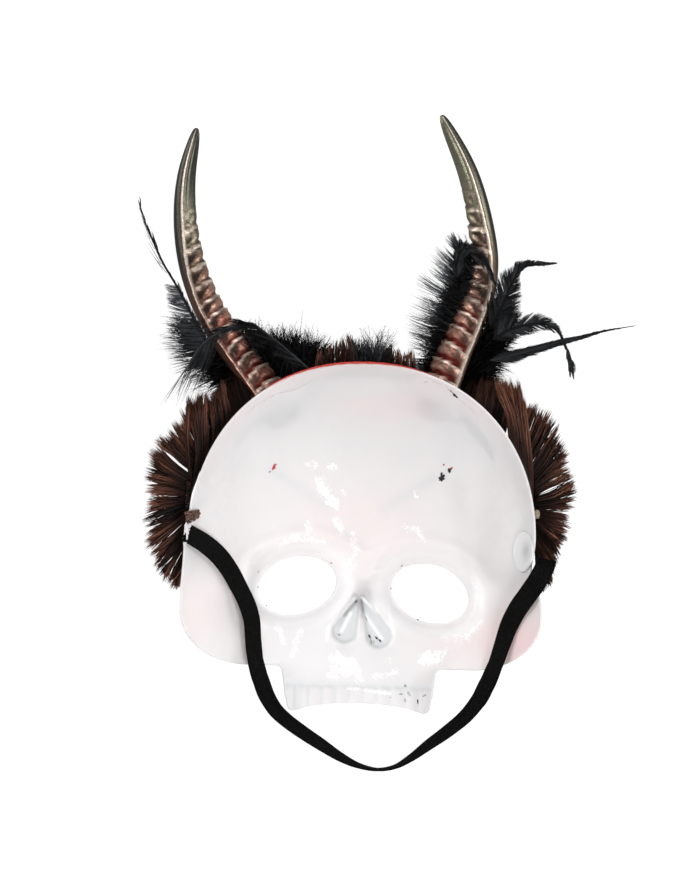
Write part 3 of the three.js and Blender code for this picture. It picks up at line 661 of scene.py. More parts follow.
bristle_brown = Finish("brown_bristle", {"Roughness": 0.4, "Specular IOR Level": 0.2})
shade = bristle_brown.attribute("shade")
reach = bristle_brown.attribute("reach")
streak = bristle_brown.noise(1.2, 2.0)
root_brown = bristle_brown.mix(shade, tone(3, 1, 1), tone(58, 30, 22))
tip_brown = bristle_brown.mix(shade, tone(16, 7, 5), tone(164, 108, 86))
# Lighter towards the tips, unevenly
tip_lightening = bristle_brown.step(reach, 0.22, 1.0) * (0.6 + 0.9 * streak)
bristle_brown.set(
    colour=bristle_brown.mix(tip_lightening, root_brown, tip_brown),
    roughness=0.36 + 0.2 * streak,
)

feather_black = Finish("black_feather", {"Roughness": 0.45, "Specular IOR Level": 0.14})
feather_shade = feather_black.attribute("shade")
feather_streak = feather_black.noise(2.5, 2.0)
feather_black.set(
    colour=feather_black.mix(feather_shade * (0.4 + feather_streak), tone(1, 1, 1), tone(100, 103, 108)),
    roughness=0.35 + 0.3 * feather_streak,
)

elastic = Finish("black_elastic", {"Roughness": 0.85, "Specular IOR Level": 0.06})
weave_at = elastic.node("ShaderNodeUVMap", {"uv_map": "UVMap"})
ribs, picks = (
    elastic.node("ShaderNodeTexWave", {"bands_direction": way}, {"Vector": weave_at, "Scale": scale}, "Fac")
    for way, scale in (("X", 2.6), ("Y", 90.0))
)
cloth = ribs * 0.6 + picks * 0.4
glint_breakup = elastic.noise(1.1, 3.0, 0.6, at=elastic.stretched((1.0, 1.0, 0.3)))
# Painted glints along the ribs, broken up by noise
glint = (ribs**3.0) * elastic.step(glint_breakup, 0.46, 0.66)
elastic.set(
    colour=elastic.mix(0.2 * cloth + 0.5 * glint, tone(0, 0, 0), tone(40, 40, 39)),
    roughness=0.62 + 0.25 * cloth,
)
elastic.bump(cloth, 0.12)

clear_plastic = Finish("clear_plastic", {"Roughness": 0.2, "IOR": 1.46, "Specular IOR Level": 0.5})
dent = clear_plastic.attribute("dent")
haze = clear_plastic.noise(3.0, 3.0, 0.6)
clear_white = clear_plastic.mix(haze, tone(226, 226, 226), tone(236, 236, 236))
clear_plastic.set(colour=clear_plastic.mix(dent * (0.4 + 0.7 * haze), clear_white, tone(172, 174, 178)))

woven_tape = Finish("woven_tape", {"Roughness": 0.85, "Specular IOR Level": 0.15})
weave = woven_tape.noise(0.7, 3.0, 0.7, distortion=1.0)
dust = woven_tape.noise(2.4, 2.0, 0.6)
tape_brown = woven_tape.mix(woven_tape.step(dust, 0.35, 0.65), tone(34, 20, 18), tone(96, 70, 58))
woven_tape.set(colour=woven_tape.mix(woven_tape.step(weave, 0.5, 0.62), tape_brown, tone(140, 116, 100)))
woven_tape.bump(weave, 0.3)

lip_plastic = Finish("torn_lip_plastic", {"Roughness": 0.3, "Specular IOR Level": 0.5})
lip_cloud = lip_plastic.noise(1.6, 3.0, 0.6)
lip_plastic.set(colour=lip_plastic.mix(lip_cloud, tone(190, 180, 186), tone(246, 242, 244)))
lip_plastic.bump(lip_cloud, 0.15)

glue = Finish("old_glue", {"Roughness": 0.35, "Specular IOR Level": 0.5})
glue_cloud = glue.noise(0.9, 3.0, 0.6)
glue.set(colour=glue.mix(glue_cloud, tone(110, 92, 78), tone(176, 160, 142)))
glue.bump(glue_cloud, 0.2)

red_paint = Finish("red_front_paint", {"Roughness": 0.4, "Specular IOR Level": 0.4})
red_cloud = red_paint.noise(2.0, 3.0, 0.6)
red_paint.set(colour=red_paint.mix(red_cloud, tone(168, 30, 24), tone(216, 74, 62)))

pad_plastic = Finish("pad_edge_plastic", {"Roughness": 0.4, "Specular IOR Level": 0.5})
pad_cloud = pad_plastic.noise(5.0, 3.0, 0.6)
pad_mauve = pad_plastic.step(pad_cloud, 0.35, 0.6)
pad_plastic.set(colour=pad_plastic.mix(pad_mauve, tone(206, 190, 198), tone(232, 228, 230)))

header_tape = Finish("dark_header_tape", {"Roughness": 0.8, "Specular IOR Level": 0.15})
header_weave = header_tape.noise(0.9, 3.0, 0.7, distortion=1.0)
header_fleck = header_tape.noise(0.6, 2.0, 0.6)
header_black = header_tape.mix(header_tape.step(header_weave, 0.4, 0.6), tone(8, 5, 6), tone(40, 24, 24))
header_flecked = header_tape.step(header_fleck, 0.6, 0.68)
header_tape.set(colour=header_tape.mix(header_flecked, header_black, tone(128, 84, 86)))

stroke_paint_and_shade = Finish("grey_black_paint_and_shade", {"Roughness": 0.5, "Specular IOR Level": 0.3})
stroke_cloud = stroke_paint_and_shade.noise(0.5, 3.0, 0.65)
stroke_shade = stroke_paint_and_shade.attribute("shade")
stroke_grey = stroke_paint_and_shade.mix(stroke_shade, tone(214, 216, 218), tone(22, 16, 18))
stroke_thin = stroke_cloud * (0.6 - 0.5 * stroke_shade)
stroke_paint_and_shade.set(colour=stroke_paint_and_shade.mix(stroke_thin, stroke_grey, tone(150, 146, 148)))


# Shell: the sheet is cut to its outline and the eye holes, pressed to its relief, and given its wall
def rim_outline():
    """The shell's outline, as on the drawing, from the middle of the jaw round by the right to the left"""
    halves = []
    for side in (1, -1):
        jaw_end = 36.2 - 3.6
        x = np.linspace(0, jaw_end, 36)
        jaw = np.stack([x, -57.3 - 4.3 * (x / jaw_end) ** 2.4], axis=-1)
        corner = arc((jaw_end, -58), (3.6, 3.6), -80, -6, 9)
        notch = arc((41.5, -42.2), (2.9, 2.9), 180, 95, 8)
        wing_reach = half_width_at(-11.5, side) - 55.5
        wing = arc((55.5, -11.5), (wing_reach, 27.8), -84, 0, 60)
        y = np.linspace(-11.5, 49, 70)[1:-1]
        rise = np.maximum(y - RIM_CENTRE_Y, 0) / RIM_TOP_HEIGHT
        flank_x = half_width_at(y, side) * (1 - rise**RIM_POWER) ** (1 / RIM_POWER)
        start = math.asin((24 / RIM_TOP_HEIGHT) ** (RIM_POWER / 2))
        angle = np.linspace(start, math.pi / 2, 130)
        dome_x = RIM_HALF_WIDTH * np.abs(np.cos(angle)) ** (2 / RIM_POWER)
        dome_y = RIM_CENTRE_Y + RIM_TOP_HEIGHT * np.sin(angle) ** (2 / RIM_POWER)
        dome = np.stack([dome_x, dome_y], axis=-1)
        halves.append(np.vstack([jaw, corner, notch, wing, np.stack([flank_x, y], axis=-1), dome]))
    right, left = halves
    left = left[1:-1][::-1] * [-1, 1]
    return even_loop(np.vstack([right, left]), 0.85)


def arc(centre, radii, start, end, count):
    angle = np.radians(np.linspace(start, end, count))
    return np.stack([centre[0] + radii[0] * np.cos(angle), centre[1] + radii[1] * np.sin(angle)], axis=-1)


def even_loop(points, spacing):
    """A closed outline with its points spread evenly"""
    closed = np.vstack([points, points[:1]])
    run = np.concatenate([[0], np.cumsum(np.linalg.norm(np.diff(closed, axis=0), axis=1))])
    at = np.linspace(0, run[-1], int(run[-1] / spacing), endpoint=False)
    return np.stack([np.interp(at, run, closed[:, k]) for k in range(2)], axis=-1)


def eye_loop(eye):
    angle = np.linspace(0, 2 * math.pi, 128, endpoint=False)
    along, across = EYE_HALF_WIDTH * np.cos(angle), EYE_HALF_HEIGHT * np.sin(angle)
    turn = math.radians(eye[2])
    x = eye[0] + along * math.cos(turn) - across * math.sin(turn)
    y = eye[1] + along * math.sin(turn) + across * math.cos(turn)
    return np.stack([x, y], axis=-1)


def drawn_in(loop):
    """An outline on the inner face whose outer face ends on the given outline"""
    slope_x, slope_y = inner_slope(loop[:, 0], loop[:, 1])
    lean = np.sqrt(1 + slope_x**2 + slope_y**2)
    return loop - WALL * np.stack([slope_x / lean, slope_y / lean], axis=-1)


def stepped_in(loop, distance):
    """An outline that runs inside another one, which goes round anticlockwise"""
    run = np.roll(loop, -1, axis=0) - np.roll(loop, 1, axis=0)
    inward = unit(np.stack([-run[:, 1], run[:, 0]], axis=-1))
    return loop + inward * distance


def inside_loop(points, loop):
    """Which points an outline goes round"""
    inside = np.zeros(len(points), bool)
    x, y = points[:, 0], points[:, 1]
    for (ax, ay), (bx, by) in zip(loop, np.roll(loop, -1, axis=0)):
        crosses = (ay > y) != (by > y)
        inside ^= crosses & (x < (bx - ax) * (y - ay) / np.where(by == ay, 1e-9, by - ay) + ax)
    return inside


def clear_of(points, loop, distance):
    nearest = np.full(len(points), 1e9)
    for start in range(0, len(loop), 50):
        gaps = points[:, None] - loop[None, start:start + 50]
        nearest = np.minimum(nearest, np.sqrt((gaps**2).sum(-1)).min(1))
    return nearest > distance


def press_marks(x, y):
    """The uneven skin of formed plastic, in millimetres"""
    broad = np.array([noise.noise(Vector((a / 11, b / 11, 0))) for a, b in zip(x, y)])
    small = np.array([noise.noise(Vector((a / 4.2, b / 4.2, 7))) for a, b in zip(x, y)])
    return 0.14 * broad + 0.045 * small


def make_shell():
    rim = drawn_in(rim_outline())
    eyes = [drawn_in(eye_loop(eye)) for eye in EYES]
    near_rim = [stepped_in(rim, d) for d in (0.35, 0.8, 1.4)]
    spacing = 0.84
    across = np.arange(-92, 92, spacing)
    rows = np.arange(-64, 114, spacing * 0.866)
    grid = np.array([(x + spacing / 2 * (row % 2), y) for row, y in enumerate(rows) for x in across])
    grid = grid[inside_loop(grid, rim)]
    grid = grid[clear_of(grid, rim, 2.0)]
    for eye in eyes:
        grid = grid[~inside_loop(grid, eye)]
        grid = grid[clear_of(grid, eye, 0.6)]
    loops = [rim, *near_rim, *eyes]
    points = np.vstack([*loops, grid])
    edges = []
    start = 0
    for loop in loops:
        edges += [(start + i, start + (i + 1) % len(loop)) for i in range(len(loop))]
        start += len(loop)
    vertices, _, faces, *_ = delaunay_2d_cdt([Vector(p) for p in points], edges, [], 1, 1e-5, False)
    flat = np.array([tuple(v) for v in vertices])
    faces = np.array(faces)
    middles = flat[faces].mean(1)
    in_eye = inside_loop(middles, eyes[0]) | inside_loop(middles, eyes[1])
    faces = faces[inside_loop(middles, rim) & ~in_eye]
    x, y = flat[:, 0], flat[:, 1]
    height = inner_height(x, y) + press_marks(x, y)
    shell = new_piece("skull_shell", np.column_stack([x, y, height]), faces)
    mark_shell(shell, x, y)
    pick(shell)
    wall = shell.modifiers.new("wall", "SOLIDIFY")
    wall.thickness = WALL * MM
    wall.offset = -1
    wall.use_quality_normals = True
    wall.material_offset = 1
    wall.material_offset_rim = 2
    edge = shell.modifiers.new("softened_rim", "BEVEL")
    edge.width = 0.22 * MM
    edge.segments = 2
    edge.limit_method = "ANGLE"
    edge.angle_limit = math.radians(50)
    apply_modifiers(shell)
    bpy.ops.object.shade_smooth_by_angle(angle=math.radians(60))
    corners = points_of(shell) / MM - SHIFT
    slope_x, slope_y = inner_slope(corners[:, 0], corners[:, 1])
    drop = inner_height(corners[:, 0], corners[:, 1]) - corners[:, 2]
    depth = drop / np.sqrt(1 + slope_x**2 + slope_y**2)
    mark(shell, "depth", np.clip(depth / WALL, 0, 1))
    return shell


# Pools of glossy lacquer on the inside, with painted highlights in their colour: from, to and half width
GLOSS_HIGHLIGHT_POOLS = [
    ((-28, 62), (-25, 61.5), 2.6), ((-17.5, 61.5), (-15, 61), 2.4), ((-23, 54), (-17, 44.5), 3.4),
    ((-10.5, 49), (-9.5, 48.5), 2.0), ((-14.5, 43), (-13, 41), 2.4),
    ((-27.5, 31.5), (-26.5, 29), 2.8), ((-42, 20.5), (-34, 25), 2.0),
    ((-33, 24.5), (-20, 23.5), 2.0), ((-13.5, 34.5), (-11, 29), 2.6), ((-5, 27), (-3, 18), 3.0),
    ((-6.5, 14), (-4.5, 10.5), 2.4), ((6.5, 9), (8.6, 9.2), 1.5), ((21, 31.5), (27, 31), 2.2),
    ((28, 30), (31.5, 25), 1.8), ((26, 49.5), (26.5, 47.5), 1.5), ((56.5, 4.6), (58.4, -1), 1.6),
    ((58.4, -2), (56.8, -10), 1.5), ((56, -12), (48, -21), 1.7), ((47, -20), (41, -22.5), 1.6),
    ((61, -14), (53, -22), 1.4), ((42, -31), (31, -32), 2.0, 0.8), ((40, -35), (30, -36), 1.6, 0.8),
    ((-14, -34), (-4, -36), 2.8, 0.7), ((-15, -44), (-6, -42), 2.8, 0.8),
    ((-8, -38), (2, -46), 2.6, 0.8), ((-12, -26), (-13, -40), 3.0, 0.55),
    ((-2, -30), (-1, -42), 2.6, 0.5), ((14, -34), (20, -40), 3.0, 0.55),
    ((50, -24), (34, -34), 5.0, 0.5), ((8, -43), (10.5, -43.5), 1.9),
    ((14, -42.5), (17.5, -41.5), 1.7), ((-30, -22), (-34, -34), 2.0), ((-42, -18), (-38, -28), 1.6),
    ((-54, 12.5), (-53.4, 10.5), 1.3), ((-42.5, -20), (-39.5, -20.5), 1.2),
    ((-6, -50), (16, -52), 1.2),
]


# Painted highlights along the ridges and painted shade in the hollows moulded round the nostrils:
# from, to, half width and, for hollows, strength
NOSE_PAINTED_HIGHLIGHTS = [
    ((-3.7, -4.6), (-16.0, -20.0), 0.8), ((-16.0, -20.0), (-16.6, -26.0), 0.8),
    ((0, -3.8), (8.5, -11.1), 0.7), ((2.5, -12.7), (11.0, -24.5), 0.8),
    ((-5.0, -12.1), (-9.3, -21.3), 0.8), ((14.0, -8.6), (16.6, -21.4), 0.6),
]
NOSE_SHADOWS = [
    ((-2.2, -5.8), (-7.3, -12.2), 0.9, 0.55), ((-7.3, -12.2), (-10.6, -18.6), 1.0, 0.2),
    ((0.5, -6.8), (1.0, -13.6), 0.9, 0.35), ((0.6, -13.6), (1.6, -20.6), 1.0, 0.12),
    ((9.5, -9.0), (12.2, -15.0), 1.2, 0.1), ((4.4, -22.0), (6.0, -27.0), 0.8, 0.25),
    ((-14.6, -24.0), (-8.0, -28.6), 1.0, 0.08), ((7.0, -30.0), (15.0, -29.0), 1.0, 0.08),
]


def paint_over(x, y, strokes):
    """How much soft strokes cover"""
    cover = 0
    for start, end, width, *strength in strokes:
        cover = cover + bell(stroke_gap(x, y, start, end) / width) * (strength[0] if strength else 1)
    return np.clip(cover, 0, 1)


def stroke_gap(x, y, start, end):
    """Distance from a straight stroke"""
    run_x, run_y = end[0] - start[0], end[1] - start[1]
    share = np.clip(((x - start[0]) * run_x + (y - start[1]) * run_y) / (run_x**2 + run_y**2), 0, 1)
    return np.hypot(x - start[0] - share * run_x, y - start[1] - share * run_y)


def mark_shell(shell, x, y):
    """Where the front's paint shows through, where the front has its washes, and painted light and shade
    inside
    """
    side = np.abs(x)
    rim = rim_fraction(x, y)
    eye_gap = np.min([ellipse_distance(x, y, eye, EYE_HALF_WIDTH, EYE_HALF_HEIGHT) for eye in EYES], axis=0)
    nostril_gap = nostril_distance(x, y)
    right_wing = bell((x - 78) / 16, (y + 24) / 17)
    left_wing = 0.35 * bell((x + 80) / 14, (y + 12) / 20)
    upper_edge = 0.3 * smoothstep(0.86, 1.0, rim) * smoothstep(30, 90, y)
    crown = 0.3 * bell((x - 6) / 24, (y - 92) / 9) + 0.25 * bell((x - 28) / 14, (y - 94) / 9)
    brow_blush = 0.26 * bell((x + 4) / 44, (y - 40) / 17) + 0.2 * bell(x / 50, (y - 14) / 18)
    cheek_blush = 0.3 * bell((x - 48) / 18, (y + 26) / 12)
    mark(shell, "pink", np.clip(right_wing + left_wing + upper_edge + crown + brow_blush + cheek_blush, 0, 1))
    left_brow = bell(stroke_gap(x, y, (-45, 58), (-18, 41)) / 3.2)
    right_brow = bell(stroke_gap(x, y, (35, 57), (11, 41)) / 3.2)
    brow_strokes = left_brow + right_brow
    nose_blue = 0.42 * smoothstep(1.0, 0.85, nostril_gap) + 0.35 * bell((x - 2) / 9, (y + 3) / 7)
    tooth_wave = np.abs(np.sin(math.pi * (x - TOOTH_VALLEY_X) / TOOTH_PITCH))
    tooth_valley = bell(tooth_wave / 0.3) * smoothstep(-48, -50, y)
    gum_line = 0.3 * bell((y - TOOTH_TOP_Y) / 1.6) * smoothstep(40, 34, side)
    tooth_blue = (0.55 - 0.4 * smoothstep(-34, 10, x)) * tooth_valley + gum_line
    mark(shell, "blue", np.clip(0.3 * brow_strokes + nose_blue + tooth_blue, 0, 1))
    # Painted highlights, together with the glossy pools
    mark(shell, "sheen", paint_over(x, y, GLOSS_HIGHLIGHT_POOLS))
    # Painted light over the relief's shade round the eyes, nostrils and left wing, and painted highlights on
    # the nose
    eye_painted_light = 0.7 * bell((eye_gap - 1.3) / 0.18)
    wing_painted_light = 0.4 * bell((x + 55) / 6, (y + 22) / 16)
    nostril_painted_light = 0.6 * bell((nostril_gap - 1.05) / 0.12) * smoothstep(-8, -16, y)
    mark(shell, "lift", np.clip(paint_over(x, y, NOSE_PAINTED_HIGHLIGHTS) + eye_painted_light + nostril_painted_light + wing_painted_light, 0, 1))
    # Grey at the nose root, and painted shade along the nose's hollows
    nose_root_and_shade = 0.4 * bell((x - 2) / 6.5, (y + 2) / 5) + paint_over(x, y, NOSE_SHADOWS)
    nostril_dark = 0.07 * smoothstep(1.0, 0.8, nostril_gap)
    # Painted shade in the right temple's hollow, and on the temples
    painted_hollow_shade = 0.1 * bell(stroke_gap(x, y, (47, 52), (56, 4)) / 6)
    temple = 0.12 * smoothstep(50, 68, side) * smoothstep(-2, 14, y) * smoothstep(85, 55, y)
    socket = 0.03 * smoothstep(1.15, 1.0, eye_gap)
    forehead = 0.02 * smoothstep(56, 68, y + 0.0012 * x**2) * smoothstep(1.0, 0.8, rim)
    jaw = 0.04 * smoothstep(-42, -52, y)
    mark(shell, "grey", np.clip(nose_root_and_shade + nostril_dark + socket + forehead + jaw + temple + painted_hollow_shade, 0, 1))
    # Painted shade on the eye holes' cut edges, darkest at their upper left
    above_left = np.max([((eye[0] - x) + (y - eye[1])) / 30 for eye in EYES], axis=0)
    eye_line = smoothstep(1.3, 1.12, eye_gap) * (0.35 + 0.65 * smoothstep(-0.2, 0.7, above_left))
    mark(shell, "eye_line", eye_line)
    red_edge = 0.35 * bell((x + 8) / 38) * smoothstep(84, 100, y) * smoothstep(0.95, 0.98, rim)
    mark(shell, "red_edge", np.clip(red_edge, 0, 1))
    wash = smoothstep(0.6, 1.0, rim) + 0.8 * bell((eye_gap - 1.35) / 0.3) + 0.5 * bell(x / 40, (y + 52) / 12)
    mark(shell, "wash", np.clip(wash, 0, 1))
    tooth_line = bell(tooth_wave / 0.2) * (y < TOOTH_TOP_Y)
    sockets = smoothstep(1.5, 1.05, eye_gap) + smoothstep(1.2, 0.8, nostril_gap)
    mark(shell, "dark", np.clip(sockets + 0.7 * tooth_line, 0, 1))


shell = make_shell()
settle(shell, inner_plastic, outer_paint, cut_edge, nodes=["mask_shell"], slot="shell_plastic")


# Horns: a long round drawn to a point, with a keel, and ribs across the inner face
HORN_SIDES = 72
HORN_BASE_RADIUS = 9.4
HORN_SWELL = 0.38
RIB_PITCH = 9.4
RIB_HEIGHT = 1.7
RIBBED_SHARE = 0.8
LEFT_KEEL_ANGLES = [124, 124, 123, 122, 120, 114, 106, 104, 104, 104]
RIGHT_KEEL_ANGLES = [144, 142, 139, 134, 126, 116, 108, 104, 104, 104]
HORNS = {
    "horn_left": (1, [
        (-41, 86, 33), (-50.5, 99, 23.5), (-60.8, 112, 15.6), (-71.2, 125.5, 10.8), (-80.6, 140, 6.2),
        (-88.2, 158, 5.2), (-92.6, 179, 7.4), (-93.2, 202.5, 12.6), (-88.4, 229, 21),
    ]),
    "horn_right": (-1, [
        (34.5, 91, 34), (38.4, 105.5, 24), (43.4, 119.5, 15.8), (49.8, 134.5, 8.2), (55.6, 150, 5.7),
        (57.5, 164.8, 5.2), (56, 180, 7.2), (48.5, 209, 13), (34, 238.6, 22),
    ]),
}


def model_round(name, sides, rings):
    """A closed round whose wall is cut into even rings"""
    bpy.ops.mesh.primitive_cylinder_add(vertices=sides, radius=1, depth=1, end_fill_type="TRIFAN")
    piece = bpy.context.object
    piece.name = name
    bpy.ops.object.mode_set(mode="EDIT")
    bpy.ops.mesh.select_mode(type="EDGE")
    bpy.ops.mesh.select_all(action="DESELECT")
    bpy.ops.object.mode_set(mode="OBJECT")
    corners = piece.data.vertices
    for edge in piece.data.edges:
        edge.select = abs(corners[edge.vertices[0]].co.z - corners[edge.vertices[1]].co.z) > 0.5
    bpy.ops.object.mode_set(mode="EDIT")
    bpy.ops.mesh.subdivide(number_cuts=rings - 2)
    bpy.ops.mesh.select_mode(type="VERT")
    bpy.ops.object.mode_set(mode="OBJECT")
    return piece


def rib_profile(phase, facet_share):
    """One rib from the tip's side to the base's: a crease, a sharp lip, a flat facet and a bulge that dives
    again. Gives its height, and where its lip and its facet are."""
    rise = smoothstep(0, 0.07, phase)
    lip = bell((phase - 0.12) / 0.065)
    bulge = 0.36 * smoothstep(facet_share - 0.05, facet_share + 0.45 * (1 - facet_share), phase)
    dive = 1 - smoothstep(1 - 0.45 * (1 - facet_share), 1.0, phase)
    facet = smoothstep(facet_share + 0.07, facet_share - 0.03, phase) * smoothstep(0.1, 0.2, phase)
    fall = 1 - 0.3 * smoothstep(0.12, 0.45, phase)
    return (0.62 * rise * fall + bulge) * dive + 0.42 * lip, lip, facet


def make_horn(name, inner, route, seed):
    rng = np.random.default_rng(seed)
    length = even_line(route, [0])[1]
    ribbed = np.arange(0, RIBBED_SHARE, 0.23 / length)
    bare = 1 - (1 - ribbed[-1]) * (1 - np.linspace(0, 1, 60)[1:]) ** 1.6
    shares = np.concatenate([ribbed, np.minimum(bare, 0.9992)])
    horn = model_round(name + "_ribbed", HORN_SIDES, len(shares))
    corners = points_of(horn)
    share = shares[np.round((corners[:, 2] + 0.5) * (len(shares) - 1)).astype(int)]
    angle = np.arctan2(corners[:, 1], corners[:, 0])
    middle = np.hypot(corners[:, 0], corners[:, 1]) < 0.5
    ahead = even_line(route, np.clip(share + 0.002, 0, 1))[0]
    behind = even_line(route, np.clip(share - 0.002, 0, 1))[0]
    along = unit(ahead - behind)
    centre = even_line(route, share)[0]
    top = unit(np.array([0, 0, 1.0]) - along * along[:, 2:3])
    level = np.cross(along, top) * inner
    distance = share * length
    keel_angle = np.radians(along_profile(LEFT_KEEL_ANGLES if inner > 0 else RIGHT_KEEL_ANGLES, share))
    turned = np.where(angle < -1.7, angle + 2 * math.pi, angle)
    near_base = smoothstep(0.5, 0.1, share)
    lean, arch = (0.25, 0.06 * near_base) if inner > 0 else (0.22, 0.34 * near_base)
    rib = distance / RIB_PITCH - lean * np.cos(turned) + arch * np.sin(turned)
    rib = rib + 0.04 * np.sin(3 * turned) + 0.1 * np.sin(0.9 * distance / RIB_PITCH)
    rib_number = np.clip(np.floor(rib).astype(int), 0, 63)
    strength = rng.uniform(0.8, 1.2, 64)[rib_number]
    phase = 1 - rib % 1.0
    over = (turned - math.radians(-30)) / (keel_angle - math.radians(-30))
    facet_share = np.clip(0.12 + 0.74 * smoothstep(0.25, 1.0, over), 0.12, 0.86)
    profile, lip, facet = rib_profile(phase, facet_share)
    fade = smoothstep(RIBBED_SHARE, RIBBED_SHARE - 0.2, share)
    zigzag = 0.07 * (phase - 0.5) * fade
    keel_shine = 0.1 + 0.8 * smoothstep(0.3, 0.6, share) if inner > 0 else 0.95
    keel_width = 0.09 if inner > 0 else 0.09 + 0.05 * smoothstep(0.6, 0.3, share)
    facet = facet * (1.0 if inner > 0 else 0.9)
    on_inner = smoothstep(keel_angle + 0.02, keel_angle - 0.14, turned) * smoothstep(-1.3, -0.7, turned)
    keel = 0.75 * bell((turned - keel_angle + zigzag) / 0.12) * smoothstep(1, 0.9, share)
    grooves = 0.1 * np.sin(9 * angle + 3 * np.sin(distance / 30)) * smoothstep(0.4, 0.9, share)
    radius = HORN_BASE_RADIUS * (1 - share) ** HORN_SWELL
    radius = radius + keel + grooves * (1 - on_inner * fade)
    radius = radius + RIB_HEIGHT * strength * on_inner * fade * (profile - 0.72)
    radius = np.where(middle, 0, radius)
    points = centre + level * (radius * np.cos(angle))[:, None] + top * (radius * np.sin(angle))[:, None]
    points[:, 2] = np.maximum(points[:, 2], 0.05)
    reshape(horn, keep_outside(points, 0.3))
    ribs = on_inner * fade
    mark(horn, "along", share)
    early = (0.26 if inner < 0 else 0.14) * near_base * np.clip(0.3 + 0.8 * over, 0, 1)
    in_crease = np.maximum(smoothstep(0.76 - early, 0.93 - early, phase), smoothstep(0.08, 0.0, phase))
    mark(horn, "crease", np.clip(ribs * in_crease, 0, 1))
    # Painted highlights: the keel's line and the ribs' lips
    keel_highlight = keel_shine * bell((turned - keel_angle + zigzag) / keel_width)
    mark(horn, "lip", np.clip(ribs * lip + keel_highlight, 0, 1))
    # Painted shade on the rib facets
    mark(horn, "facet", np.clip(ribs * facet, 0, 1))
    # Darker towards the tip on the left horn, where it has no ribs
    dull = (0.42 * smoothstep(0.45, 0.6, share) + 0.45 * smoothstep(0.66, 0.85, share)) * (inner > 0)
    mark(horn, "dull", dull * (1 - ribs))
    # Painted light on the right horn's flank
    mark(horn, "light_flank", smoothstep(keel_angle + 0.7, keel_angle + 0.1, turned) * (inner < 0))
    mark(horn, "flank", smoothstep(keel_angle - 0.05, keel_angle + 0.12, turned))
    pick(horn)
    bpy.ops.object.mode_set(mode="EDIT")
    bpy.ops.mesh.select_all(action="SELECT")
    bpy.ops.mesh.normals_make_consistent(inside=False)
    bpy.ops.object.mode_set(mode="OBJECT")
    bpy.ops.object.shade_smooth()
    settle(horn, horn_paint, nodes=[name], slot="horn_paint")


for seed, (name, (inner, route)) in enumerate(HORNS.items()):
    make_horn(name, inner, route, seed + 3)


# Bristle fringe: locks of coarse hair that fan out from the temples, each fan from its roots to its tips
FRINGES = {
    "bristle_fringe_left": [
        {"count": 2000, "locks": 46, "level": 45, "shade": (0.0, 0.75), "bow": 0.9,
         "roots": [(-88.5, 11.7), (-87.8, 22.7), (-87.2, 32.7), (-86.6, 40.2), (-85.5, 46.7), (-83.5, 52.7),
                   (-81.5, 58.8), (-77.8, 65.8)],
         "tips": [(-90.3, -2.4), (-95.6, -1.8), (-101.5, 3.3), (-104.6, 9), (-107.3, 15.7), (-109.3, 21.7),
                  (-110.4, 34.6), (-110, 47.1), (-109.9, 58.7), (-108.4, 66.9), (-105.1, 75.3), (-98, 80),
                  (-92.9, 87.6), (-88.9, 95.7)]},
        {"count": 1100, "locks": 18, "level": 47, "shade": (0.1, 0.6), "bow": 1.6,
         "roots": [(-86.5, 46.7), (-83, 55.2), (-79, 62), (-73.3, 71), (-66.5, 79.5)],
         "tips": [(-90.1, 94.7), (-85.7, 98.3), (-82, 99.4), (-79.2, 97.5), (-75.3, 100.6),
                  (-71.4, 106.2)]},
        {"count": 900, "locks": 11, "level": 43, "tip_level": 12, "shade": (0.0, 0.2), "bow": 1.2,
         "roots": [(-66, 70), (-61, 75), (-57.5, 78.5), (-52.5, 82)],
         "tips": [(-75.5, 99), (-72.8, 103.1), (-70.6, 111.2), (-65.6, 112.8)]},
    ],
    "bristle_fringe_top": [
        {"count": 420, "locks": 22, "level": 46, "shade": (0.05, 0.5), "bow": 0.8, "ragged": 0.45,
         "roots": [(-25, 105.5), (-16, 107), (-3, 108.5), (12, 108), (24, 106)],
         "tips": [(-26, 122), (-17, 126), (-3.4, 127), (12, 124), (24, 121)]},
        {"count": 380, "locks": 9, "level": 45, "shade": (0.05, 0.5), "bow": 0.8, "ragged": 0.5,
         "roots": [(-13.6, 107.5), (-8, 108), (-3, 108.5), (4, 108.5), (11, 108)],
         "tips": [(-15, 127), (-9.4, 130), (-3.4, 125), (5, 124), (14, 124)]},
    ],
    "bristle_fringe_right": [
        {"count": 2000, "locks": 42, "level": 44.5, "shade": (0.0, 0.7), "bow": 0.9,
         "roots": [(87, 12.3), (86, 22.3), (85.6, 32.3), (85.2, 39.8), (84.6, 46.3), (83.3, 52.3),
                   (81.3, 58.2), (78.5, 64.7), (74.3, 72.2)],
         "tips": [(88.5, -1.5), (94.4, 2.5), (95.7, 8.5), (97.6, 13.1), (100.8, 22.6), (104.3, 32.7),
                  (106.7, 47.8), (106.4, 58.8), (104.7, 66.8), (100.4, 76.2), (97.7, 85.6), (92.5, 93.5),
                  (85.4, 96.3), (80.4, 95.6)]},
        {"count": 1200, "locks": 7, "level": 47.5, "shade": (0.45, 1.0), "bow": 0.8, "sweep": 2.4,
         "roots": [(84.5, 46), (82.6, 51.3), (80, 57.5), (76.3, 65), (71.5, 72.5)],
         "tips": [(78.8, 99.1), (74.6, 107.5), (70.5, 110.4), (66.5, 110.8), (63.6, 106.7)]},
        {"count": 900, "locks": 11, "level": 44, "tip_level": 14, "shade": (0.0, 0.4), "bow": 1.2,
         "roots": [(47, 88), (51, 84), (56, 79), (60, 74), (65, 68)],
         "tips": [(52, 108), (58.1, 110.5), (63.9, 111.6), (69.5, 106.8), (73.5, 99)]},
        {"count": 500, "locks": 4, "level": 44, "tip_level": 24, "shade": (0.0, 0.3), "bow": 0.4,
         "roots": [(52, 81), (56, 77), (60, 73), (64, 67)],
         "tips": [(58, 109), (62, 110), (66, 108), (70, 102)]},
    ],
}


